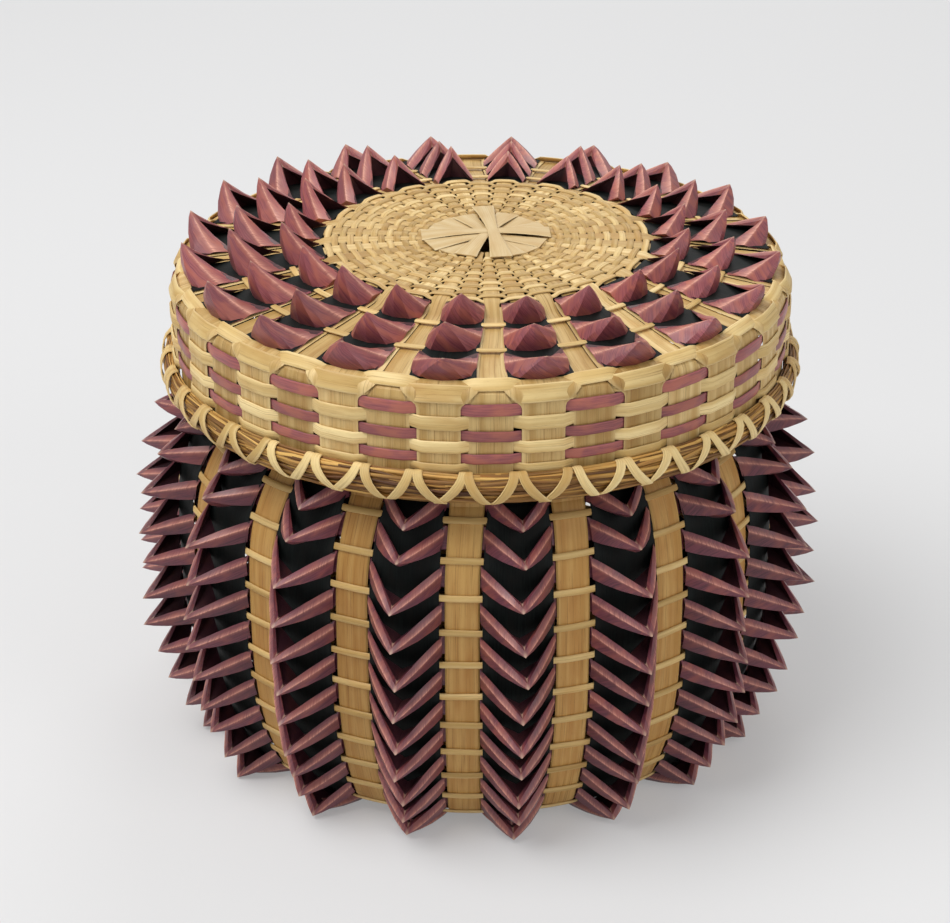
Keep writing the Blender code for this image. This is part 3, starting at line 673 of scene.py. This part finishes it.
def ring(name, body, place, sizes, finish, seed, between=False):
    # A weaver that goes round. Its sizes are inputs of the tree, with the lengths in millimetres.
    pairs, turn, half = rounds[body]
    (radius, height), normal = place
    inputs = {key: value * mm if key in ringLengths else value for key, value in sizes.items()}
    inputs.update({"Radius": float(radius) * mm, "Height": float(height) * mm, "Slope": atan2(normal[1], normal[0]),
                   "Pairs": pairs, "First turn": turn + half * between, "Shade": (seed * golden) % 1.0,
                   "Seed": seed, "Finish": finish})
    return grow(name, bpy.data.meshes.new(name), weaverRing, inputs)


def addBand(part, place, level, halfLength, width, thickness):
    # The straight run of a strip, behind the splint that it passes under
    spot, normal = place
    radius, height = spot + normal * level
    path = [(side, radius, height) for side in np.linspace(-halfLength, halfLength, 5)]
    addRibbon(part, turned(path, 0.0), np.tile(turned([0, *normal], 0.0), (5, 1)), width, thickness)


def aroundPoints(radii, turns, heights):
    return np.stack([radii * np.sin(turns), -radii * np.cos(turns), heights], 1)


# Uprights of the wall

uprights = {"naturalWidth": 7.1, "thickness": 0.5, "crown": 0.14, "blackLevel": 0.55, "blackThickness": 0.4,
            "blackCrown": 0.12, "blackShare": 0.93, "clearance": 0.2, "lowest": 0.3, "hubWidth": 2.3,
            "hubRadius": 6.0, "hubTaper": 38.0}


def halfGapAt(radius):
    return radius * sin(wallHalf) - (uprights["naturalWidth"] / 2 + uprights["clearance"]) * cos(wallHalf)


def starWidths(path, full):
    # Under the basket the splints narrow towards the middle, where they cross
    taper = np.clip((path[:, 0] - uprights["hubRadius"]) / uprights["hubTaper"], 0, 1)
    narrowed = uprights["hubWidth"] + (full - uprights["hubWidth"]) * taper
    return np.where(path[:, 1] > wall["foot"] - 1, full, narrowed)


part = Part()
widths = starWidths(uprightLine, uprights["naturalWidth"])
addSplint(part, uprightLine, widths, uprights["thickness"], uprights["crown"])
naturalUprights = copies("naturalUprights", part, "basket", honeySplint, 3, spread=0.25)
seat(naturalUprights, "basket", "natural_splint", "natural_uprights")

part = Part()
blackLine = offsetPath(uprightLine, uprights["blackLevel"])
blackLine[:, 1] = np.maximum(blackLine[:, 1], uprights["lowest"])
widths = 2 * uprights["blackShare"] * halfGapAt(np.maximum(blackLine[:, 0], wall["baseRadius"] - 2))
addSplint(part, blackLine, starWidths(blackLine, widths), uprights["blackThickness"], uprights["blackCrown"])
blackUprights = copies("blackUprights", part, "basket", blackSplint, 5, True, spread=0.2)
seat(blackUprights, "basket", "black_splint", "black_uprights")
print("basket: uprights ready")

# Rows of the wall: a thin weaver over the natural uprights, and a purple strip folded over the black ones

thinWeavers = {"Over": 0.62, "Under": 0.3, "Width": 1.45, "Thickness": 0.5, "Crown": 0.16, "Wobble": 0.9}
# reach and drop of the tips and footOut go by the row, from the top one down, and are given at some rows;
# railShares are the places of a fold's rails on the strip, as shares of half the gap
points = {"rowsGiven": (0, 2, 6, 8, 10), "reach": (8.9, 10.9, 11.2, 9.1, 6.8), "drop": (5.8, 7.3, 7.3, 7.3, 7.3),
          "footOut": (3.1, 3.1, 3.1, 2.2, 0.4), "footDrop": 7.9, "railShares": (1.0, 1.0, 0.98, 0.52),
          "creaseShare": 0.34, "creaseOut": 0.5, "flankDrop": 0.55, "flankOut": 0.5, "level": -0.55,
          "rootLevel": -0.1, "thickness": 0.4, "overlap": 0.8, "lean": 0.55, "drift": 0.65, "clear": 1.0,
          "swells": ((0.0, -0.35, 0.2), (0.3, -0.05, 0.55), (0.4, 0.35, 0.25), (0.15, 0.5, 0.1), (0.0, 0.5, 0.1))}

topLength = lengthAtHeight(uprightLine, rows["firstHeight"])
bottomLength = lengthAtHeight(uprightLine, rows["lastHeight"])
gaps = [1 + (rows["shrink"] - 1) * index / (rows["count"] - 2) for index in range(rows["count"] - 1)]
pitches = [gap * (topLength - bottomLength) / sum(gaps) for gap in gaps]
rowLengths = [topLength - sum(pitches[:index]) for index in range(rows["count"])]
pitches += [pitches[-1]] * 2
rowLengths.append(rowLengths[-1] - pitches[-1])  # a small row under the turn of the base belongs to the last one
madeRows = {}

for index, (length, pitch) in enumerate(zip(rowLengths, pitches)):
    number = f"{min(index + 1, rows['count']):02d}"
    place = placeAt(uprightLine, length)
    weaver = ring("thinWeaver" + number, "basket", place, thinWeavers, weaverSplint, 20 + index)
    madeRows.setdefault(("natural_splint", "thin_weaver_" + number), []).append(weaver)

    height, start = rows["stripShare"] * pitch, length - rows["stripStart"]
    top, normal = placeAt(uprightLine, start)
    lean = atan2(-normal[1], normal[0]) * points["lean"]
    reach, drop, footOut = (np.interp(index, points["rowsGiven"], points[key]) for key in ("reach", "drop", "footOut"))
    room = top[1] - points["clear"]  # the lowest points stay clear of the table
    drop = min(drop, (room - sin(lean) * reach) / cos(lean))
    footDrop = min(points["footDrop"], (room - sin(lean) * footOut) / cos(lean))
    part = Part()
    halfBand = uprights["naturalWidth"] / 2 + uprights["clearance"] + points["overlap"]
    addBand(part, placeAt(uprightLine, start - height / 2), points["level"], halfBand, height, points["thickness"])
    level = points["rootLevel"]
    falls = (0.0, height * points["creaseShare"], height, height + points["flankDrop"] * (footDrop - height))
    outs = (level, level + points["creaseOut"], level, points["flankOut"] * footOut)
    root = list(zip(points["railShares"], falls, outs))
    addFold(part, foldFrame(top, normal), foldFrame(top, (cos(lean), -sin(lean))), halfGapAt(top[0]), root,
            (footDrop, footOut), (drop, reach), points["swells"], wallHalf)
    row = copies("pointRow" + number, part, "basket", shadedWallPurple, 40 + index, drift=points["drift"])
    madeRows.setdefault(("purple_splint", "point_row_" + number), []).append(row)
for (slot, node), objects in madeRows.items():
    seat(joined(objects[0].name, objects), "basket", slot, node)
print("basket: rows of the wall ready")

# Plain weave of the base and of the neck behind the lid

baseRows = {"firstRadius": 12.0, "lastRadius": 51.4, "count": 13}
baseWeave = {"Over": 0.62, "Under": 0.35, "Width": 2.2, "Thickness": 0.35, "Crown": 0.05, "Wobble": 0.5, "Steps": 8,
             "Sides": 8}
neckHeights = (87.2, 90.6, 94.0, 97.4)
neckWeave = {"Width": 2.5, "Thickness": 0.4, "Crown": 0.1, "Wobble": 0.4}
neckLevels = ({"Over": 1.15, "Under": -0.5}, {"Over": 0.62, "Under": 0.35})

baseRadii = np.linspace(baseRows["firstRadius"], baseRows["lastRadius"], baseRows["count"])
rings = [ring("baseRing", "basket", ((radius, wall["baseLevel"]), (0.0, -1.0)), baseWeave, honeySplint, 70 + index)
         for index, radius in enumerate(baseRadii)]
seat(joined("baseWeaver", rings), "basket", "natural_splint", "base_weaver")

rings = []
for index, height in enumerate(neckHeights):
    place, odd = ((wall["neckRadius"], height), (1.0, 0.0)), index % 2
    rings.append(ring("neckRing", "basket", place, {**neckWeave, **neckLevels[odd]}, honeySplint, 90 + index, not odd))
seat(joined("neckWeaver", rings), "basket", "natural_splint", "neck_weaver")

# Rim of the basket: two hoops with the uprights between them, laced together

rim = {"innerRadius": 58.25, "outerRadius": 61.65, "low": 101.15, "height": 5.0, "hoop": 0.8, "lashWidth": 1.7,
       "lashThickness": 0.35, "lashCrown": 0.06, "lashAir": 0.45, "crossing": 0.2,
       "lashOuts": (-0.15, 0.0, 0.1, 0.12, 0.12, 0.12, 0.1, 0.0, -0.2), "lashLows": (-0.25, -0.15, 0.4),
       "lashHighs": (-0.5, -0.05, 0.0)}
hoopSizes = {"Over": 0.0, "Under": 0.0, "Width": rim["height"], "Thickness": rim["hoop"], "Crown": 0.12, "Steps": 6}
for word, facing, seed in (("inner", -1.0, 95), ("outer", 1.0, 96)):
    place = ((rim[word + "Radius"], rim["low"] + rim["height"] / 2), (facing, 0.0))
    hoop = ring(f"rim{word.capitalize()}Hoop", "basket", place, hoopSizes, honeySplint, seed)
    seat(hoop, "basket", "natural_splint", f"basket_rim_{word}_hoop")

# The lashing comes out under the outer hoop, goes up its face and turns in over it
lows = [rim["low"] + step for step in rim["lashLows"]]
highs = [rim["low"] + rim["height"] + step for step in rim["lashHighs"]]
lashRadius = rim["outerRadius"] + rim["hoop"] / 2 + rim["lashAir"]
radii = np.array([rim["outerRadius"], *(lashRadius + out for out in rim["lashOuts"]), rim["outerRadius"]])
heights = np.concatenate([lows[:2], np.linspace(lows[2], highs[0], 7), highs[1:]])
part = Part()
for direction in (-1, 1):
    turns = direction * wallHalf * np.linspace(-0.5, 0.5, len(radii))
    outs = aroundPoints(1.0, turns, 0 * turns)
    path = aroundPoints(radii, turns, heights) + outs * rim["crossing"] * (direction > 0)
    addRibbon(part, path, outs, rim["lashWidth"], rim["lashThickness"], rim["lashCrown"])
rimLashing = copies("rimLashing", part, "basket", honeySplint, 97, spread=0.3)
seat(rimLashing, "basket", "natural_splint", "basket_rim_lashing")
print("basket: base, neck and rim ready")

# Spokes of the lid: the ones between the points, the ones under them, and black splints laid on these

spokes = {"sideWidth": 8.9, "betweenWidth": 8.7, "betweenShare": 2.16, "thickness": 0.4, "crown": 0.12, "level": 0.1,
          "betweenLevel": 0.5, "slopeInner": 3.0, "slopeOuter": 5.7, "clearance": 0.15, "shoulderFrom": 103.5,
          "shoulderRise": 3.2, "slopeEnd": 38.5, "discShare": 0.74, "discLimits": (1.25, 3.6), "edgeDrop": 0.9,
          "discRadii": (36.6, 34.4, 24.0, 9.0)}
overlay = {"level": 1.0, "thickness": 0.3, "crown": 0.15, "share": 0.97, "outerRadius": 63.2,
           "end": ((37.4, 0.45), (35.4, 0.8))}


def spokeWidth(radius):
    share = (radius - lid["discRadius"]) / (lid["shoulderRadius"] - lid["discRadius"])
    return spokes["slopeInner"] + share * (spokes["slopeOuter"] - spokes["slopeInner"])


def lidHalfGap(radius):
    return radius * sin(lidHalf) - (spokeWidth(radius) / 2 + spokes["clearance"])


def spokePath(level):
    # Up the side and the slope, over the edge of the disc and in to its middle
    slope = offsetPath(lidLine, level)
    slope = slope[slope[:, 0] > spokes["slopeEnd"]]
    onDisc = np.array([(radius, lid["discLevel"]) for radius in spokes["discRadii"]])
    onDisc[0, 1] -= spokes["edgeDrop"]
    return resampled(np.concatenate([slope, softened(onDisc, 2)]), 0.7)


def spokeWidths(path, side, onSlope):
    blend = np.clip((path[:, 1] - spokes["shoulderFrom"]) / spokes["shoulderRise"], 0, 1)
    discWidths = np.clip(path[:, 0] * 2 * pi / (2 * lid["pairs"]) * spokes["discShare"], *spokes["discLimits"])
    return np.where(path[:, 0] < lid["discRadius"], discWidths, side + (onSlope - side) * blend)


part = Part()
path = spokePath(spokes["level"])
widths = spokeWidths(path, spokes["sideWidth"], spokeWidth(path[:, 0]))
addSplint(part, path, widths, spokes["thickness"], spokes["crown"])
lidSpokes = copies("lidNaturalSpokes", part, "lid", paleSplint, 101, spread=0.3)
seat(lidSpokes, "lid", "natural_splint", "lid_natural_spokes")

part = Part()
path = spokePath(spokes["betweenLevel"])
widths = spokeWidths(path, spokes["betweenWidth"], spokes["betweenShare"] * lidHalfGap(path[:, 0]))
addSplint(part, path, widths, spokes["thickness"], spokes["crown"])
lidBetween = copies("lidSideSpokes", part, "lid", paleSplint, 103, True, spread=0.3)
seat(lidBetween, "lid", "natural_splint", "lid_side_spokes")

part = Part()
path = offsetPath(lidLine, overlay["level"])
path = path[(path[:, 0] > spokes["slopeEnd"]) & (path[:, 0] < overlay["outerRadius"])]
path = np.concatenate([path, [(radius, path[-1, 1] + rise) for radius, rise in overlay["end"]]])
addSplint(part, path, 2 * overlay["share"] * lidHalfGap(path[:, 0]), overlay["thickness"], overlay["crown"])
overlays = copies("lidBlackOverlays", part, "lid", blackSplint, 105, True, spread=0.3)
seat(overlays, "lid", "black_splint", "lid_black_overlays")
print("basket: spokes of the lid ready")

# Rows of the lid's top. run, rise and the like go by the row, from the disc out; the points lean up at the left.

lidPoints = {"radii": (35.5, 43.8, 53.0), "strip": (6.0, 7.5, 8.2), "run": (7.4, 9.9, 10.7), "rise": (7.6, 7.4, 6.1),
             "footRun": (7.8, 9.8, 10.3), "footRise": 0.8, "cornerRise": (1.4, 0.9, 0.8), "creaseOut": 0.5,
             "hingeOut": 0.2, "flankOut": 0.6, "level": -0.4, "thickness": 0.35, "overlap": 0.35, "drift": 0.6,
             "lift": (2.3, 2.6, 3.3), "liftTurn": -95.0,
             "swells": ((-0.1, 0.2, -0.3), (0.2, 0.0, 0.1), (0.3, 0.1, 0.2), (0.25, 0.5, 0.35), (0.0, 0.7, 0.45))}
lidWeave = {"Over": 1.0, "Under": 0.1, "Width": 1.3, "Thickness": 0.35, "Crown": 0.14, "Wobble": 0.5, "Sharpness": 0.5}
shoulderWeave = {**lidWeave, "Over": 1.15, "Under": -0.45, "Width": 2.9}
weaverSpots = {"slopeRadii": (42.7, 52.2), "shoulder": (63.9, 106.75), "shoulderTilt": radians(48)}
lidWeavers = [(placeAt(lidLine, lengthAtRadius(lidLine, radius)), lidWeave) for radius in weaverSpots["slopeRadii"]]
shoulderNormal = (cos(weaverSpots["shoulderTilt"]), sin(weaverSpots["shoulderTilt"]))
lidWeavers.append(((weaverSpots["shoulder"], shoulderNormal), shoulderWeave))

for index, (place, sizes) in enumerate(lidWeavers):
    number = str(index + 1)
    radius, strip, run, rise, foot, corner, lift = (
        lidPoints[key][index] for key in ("radii", "strip", "run", "rise", "footRun", "cornerRise", "lift"))
    part = Part()
    bandPlace = placeAt(lidLine, lengthAtRadius(lidLine, radius + strip / 2))
    halfBand = spokeWidth(radius + strip) / 2 + lidPoints["overlap"]
    addBand(part, bandPlace, lidPoints["level"], halfBand, strip, lidPoints["thickness"])
    halfGap = lidHalfGap(radius + 1.0)
    widen = lidHalfGap(radius + strip) / halfGap
    shares = (1.0, 0.45 + 0.55 * widen, 0.98 * widen, 0.7 * widen)
    falls = (0.0, 0.5 * strip, strip, 0.35 * strip + 0.65 * foot)
    outs = (corner, corner + lidPoints["creaseOut"], lidPoints["hingeOut"], lidPoints["flankOut"])
    slopeFrame = foldFrame(*placeAt(lidLine, lengthAtRadius(lidLine, radius)))
    addFold(part, slopeFrame, slopeFrame, halfGap, list(zip(shares, falls, outs)), (foot, lidPoints["footRise"]),
            (run, rise), lidPoints["swells"], lidHalf)
    row = copies("lidPointRow" + number, part, "lid", litLidPurple, 110 + index, drift=lidPoints["drift"], lift=lift,
                 liftTurn=lidPoints["liftTurn"])
    seat(row, "lid", "purple_splint", "lid_point_row_" + number)
    weaver = ring("lidThinWeaver" + number, "lid", place, sizes, bandSplint, 120 + index)
    seat(weaver, "lid", "natural_splint", "lid_thin_weaver_" + number)
print("basket: rows of the lid ready")

# Side of the lid: purple weavers over the spokes between the points, natural ones over the others.
# The bands are (height, width) from the top down.

sideWeave = {"Wobble": 0.6, "Sharpness": 0.45, "Pinch": 0.06}
purpleWeave = {**sideWeave, "Over": 0.75, "Under": 0.0, "Thickness": 0.34, "Crown": 0.1}
naturalWeave = {**sideWeave, "Over": 1.1, "Under": -0.4, "Thickness": 0.36, "Crown": 0.16}
topWeave = {**naturalWeave, "Over": 0.95, "Under": -0.5, "Width": 3.7, "Crown": 0.12, "Wobble": 0.3}
topTilt = 0.45
topPlace = ((65.6, 105.8), (cos(topTilt), sin(topTilt)))
purpleBands = ((102.95, 2.7), (97.3, 2.35), (92.4, 2.25))
naturalBands = ((100.15, 3.0), (94.9, 2.65), (90.4, 2.0))


def sideRing(name, band, sizes, finish, seed, between=False):
    place = ((lid["sideRadius"], band[0]), (1.0, 0.0))
    return ring(name, "lid", place, {**sizes, "Width": band[1]}, finish, seed, between)


for index, (purple, natural) in enumerate(zip(purpleBands, naturalBands)):
    number = str(index + 1)
    weaver = sideRing("lidPurpleWeaver" + number, purple, purpleWeave, purpleBand, 130 + index)
    seat(weaver, "lid", "purple_splint", "lid_purple_weaver_" + number)
    rings = [sideRing("lidSideWeaver" + number, natural, naturalWeave, bandSplint, 140 + index, True)]
    if index == 0:
        rings.append(ring("lidShoulderWeaver", "lid", topPlace, topWeave, bandSplint, 150, True))
    seat(joined("lidSideWeaver" + number, rings), "lid", "natural_splint", "lid_side_weaver_" + number)

# Rim of the lid: a hoop inside, sweetgrass outside, and a flat splint that laces them

lidRim = {"middle": 86.6, "hoopMiddle": 86.3, "hoopRadius": 65.05, "grassRadius": 67.85, "grassDepth": 1.35,
          "grassHeight": 2.9, "blades": 66, "bladeWidth": 0.85, "lashWidth": 1.95, "lashThickness": 0.35,
          "lashCrown": 0.08, "lashDepth": 0.3, "lashHeight": 0.35, "lashReach": 4.55, "lashBend": 1.6,
          "lashAngles": (-118, -100, -82, -62, -42, -20, 0, 22, 44, 66, 86, 104)}
lidHoop = {"Over": 0.0, "Under": 0.0, "Width": 5.4, "Thickness": 0.8, "Crown": 0.1, "Steps": 6}
place = ((lidRim["hoopRadius"], lidRim["hoopMiddle"]), (-1.0, 0.0))
seat(ring("lidRimInnerHoop", "lid", place, lidHoop, paleSplint, 160), "lid", "natural_splint", "lid_rim_inner_hoop")
grass = grow("lidRimSweetgrass", bpy.data.meshes.new("lidRimSweetgrass"), grassBundle, {
    "Radius": lidRim["grassRadius"] * mm, "Height": lidRim["middle"] * mm, "Half depth": lidRim["grassDepth"] * mm,
    "Half height": lidRim["grassHeight"] * mm, "Blades": lidRim["blades"], "Blade width": lidRim["bladeWidth"] * mm,
    "Seed": 8, "Finish": grassFinish})
seat(grass, "lid", "sweetgrass", "lid_rim_sweetgrass")


def addLash(part, turn, direction, bottomGap, lift):
    # One leg of a V: up from the bottom of the rim, curving out to the side, and in at the top
    angles = np.radians(np.array(lidRim["lashAngles"]))
    radii = lidRim["grassRadius"] + (lidRim["grassDepth"] + lidRim["lashDepth"] + lift) * np.cos(angles)
    heights = lidRim["middle"] + (lidRim["grassHeight"] + lidRim["lashHeight"]) * np.sin(angles)
    share = np.clip((heights - heights.min()) / (heights.max() - heights.min()), 0, 1)
    bend = 1 - (1 - share) ** lidRim["lashBend"]
    turns = turn + direction * (bottomGap + (lidRim["lashReach"] - bottomGap) * bend) / radii
    outs = aroundPoints(np.cos(angles), turns, np.sin(angles))
    addRibbon(part, aroundPoints(radii, turns, heights), outs, lidRim["lashWidth"], lidRim["lashThickness"],
              lidRim["lashCrown"])


part = Part()
for turn, gap in ((0.0, 0.75), (lidHalf, -0.45)):
    addLash(part, turn, 1, gap, 0.0)
    addLash(part, turn, -1, gap, 0.4)  # the second leg lies over the first
lidLashing = copies("lidRimLashing", part, "lid", bandSplint, 163, spread=0.4)
seat(lidLashing, "lid", "natural_splint", "lid_rim_lashing")
print("basket: side and rim of the lid ready")

# Woven disc of the lid and the broad splints that cross at its middle

discRows = {"firstRadius": 12.6, "pitch": 1.68, "count": 14}
discWeave = {"Over": 0.36, "Under": -0.36, "Width": 1.46, "Thickness": 0.3, "Crown": 0.08, "Wobble": 0.55,
             "Sharpness": 0.55, "Steps": 10, "Sides": 8}
rings = []
for index in range(discRows["count"]):
    place = ((discRows["firstRadius"] + discRows["pitch"] * index, lid["discLevel"]), (0.0, 1.0))
    rings.append(ring("discRow", "lid", place, discWeave, paleSplint, 170 + index, index % 2))
seat(joined("lidCentreWeave", rings), "lid", "natural_splint", "lid_centre_weave")

# turn, reach to the front and to the back, width at the ends, at the waist, level and shift sideways,
# from the lowest splint up
centreSplints = (
    (45, 13.0, 13.0, 5.2, 2.2, 0.3, 0.0), (135, 13.0, 13.0, 5.2, 2.2, 0.45, 0.0),
    (68, 13.0, 13.0, 5.4, 2.2, 0.6, 0.0), (24, 13.0, 12.5, 5.4, 2.2, 0.75, 0.5),
    (112, 13.4, 13.6, 6.6, 2.2, 0.95, -0.5), (157, 13.2, 12.6, 5.2, 2.2, 1.15, 0.0),
    (92, 13.8, 14.0, 6.2, 2.4, 1.35, 0.6), (5.5, 13.4, 16.4, 4.9, 2.3, 1.65, 1.4))
centreShape = {"spots": 15, "thickness": 0.22, "crown": 0.04, "clearance": 0.1, "sag": 0.7, "endLift": 0.3}
part = Part()
spots = np.linspace(-1, 1, centreShape["spots"])
away = np.abs(spots)
for turn, front, back, wide, waist, level, shift in centreSplints:
    reach = np.where(spots < 0, back, front) * spots
    widths = waist + (wide - waist) * away ** 1.3
    heights = level * (1 - centreShape["sag"] * away ** 2.5) + centreShape["endLift"] * away ** 3
    heights += lid["discLevel"] + centreShape["clearance"]
    path = turned(np.stack([0 * spots + shift, reach, heights], 1), radians(turn))
    outs = np.tile([0.0, 0.0, 1.0], (len(spots), 1))
    addRibbon(part, path, outs, widths, centreShape["thickness"], centreShape["crown"])
centre = copies("lidCentreSplints", part, "lid", centreSplint, 190, count=1)
seat(centre, "lid", "natural_splint", "lid_centre_splints")
print("basket: disc ready")

# Floor, light and camera, with these lengths in metres

studio = {"floor": (0.76, 0.76, 0.765), "world": 0.40, "paper": 0.77, "paperShare": 0.33}
lamps = {"keyLight": {"place": (-0.5, -0.25, 1.1), "aim": (0, 0, 0.06), "size": 0.9, "power": 11.0},
         "fillLight": {"place": (0.8, -0.7, 0.7), "aim": (0, 0, 0.05), "size": 0.7, "power": 2.4},
         "backLight": {"place": (0.2, 0.9, 0.9), "aim": (0, 0, 0.08), "size": 0.7, "power": 3.0}}
view = {"place": (0, -0.5149, 0.3167), "aim": (0, 0, 0.0585), "lens": 96.9, "sensor": 36.0, "shift": -0.0056}
white = (1.0, 1.0, 1.0, 1.0)


def seenDirectly(w):
    rays = w.node("ShaderNodeLightPath").outputs
    mirrored = w.math("MAXIMUM", rays["Is Glossy Ray"], rays["Is Transmission Ray"])
    return w.math("MAXIMUM", rays["Is Camera Ray"], mirrored)


floorMesh = bpy.data.meshes.new("floor")
floorMesh.from_pydata([(-4, -3, 0), (4, -3, 0), (4, 5, 0), (-4, 5, 0)], [], [(0, 1, 2, 3)])
floor = bpy.data.objects.new("floor", floorMesh)
bpy.context.scene.collection.objects.link(floor)
floorFinish = bpy.data.materials.new("paper floor")
floorFinish.use_nodes = True
floorShader = floorFinish.node_tree.nodes["Principled BSDF"]
floorShader.inputs["Base Color"].default_value = (*studio["floor"], 1.0)
floorShader.inputs["Roughness"].default_value = 0.9
floorShader.inputs["Specular IOR Level"].default_value = 0.1
w = Wiring(floorFinish.node_tree)
paper = w.node("ShaderNodeEmission", {"Color": white, "Strength": studio["paper"]})
share = w.times(seenDirectly(w), studio["paperShare"])
mixed = w.node("ShaderNodeMixShader", {0: share, 1: floorShader, 2: paper})
w.put(floorFinish.node_tree.nodes["Material Output"].inputs["Surface"], mixed)
floorMesh.materials.append(floorFinish)

world = bpy.data.worlds.new("studio")
bpy.context.scene.world = world
world.use_nodes = True
w = Wiring(world.node_tree)
background = world.node_tree.nodes["Background"].inputs
background["Color"].default_value = white
w.put(background["Strength"], w.add(studio["world"], w.times(seenDirectly(w), studio["paper"] - studio["world"])))


def aimed(name, data, place, aim):
    obj = bpy.data.objects.new(name, data)
    obj.location = place
    obj.rotation_euler = (Vector(aim) - Vector(place)).to_track_quat("-Z", "Y").to_euler()
    bpy.context.scene.collection.objects.link(obj)
    return obj


for name, lamp in lamps.items():
    light = bpy.data.lights.new(name, "AREA")
    light.shape = "DISK"
    light.size = lamp["size"]
    light.energy = lamp["power"]
    aimed(name, light, lamp["place"], lamp["aim"])

camera = bpy.data.cameras.new("camera")
camera.lens = view["lens"]
camera.sensor_width = view["sensor"]
camera.shift_x = view["shift"]
bpy.context.scene.camera = aimed("camera", camera, view["place"], view["aim"])
bpy.context.scene.view_settings.view_transform = "Standard"

print("basket: done")
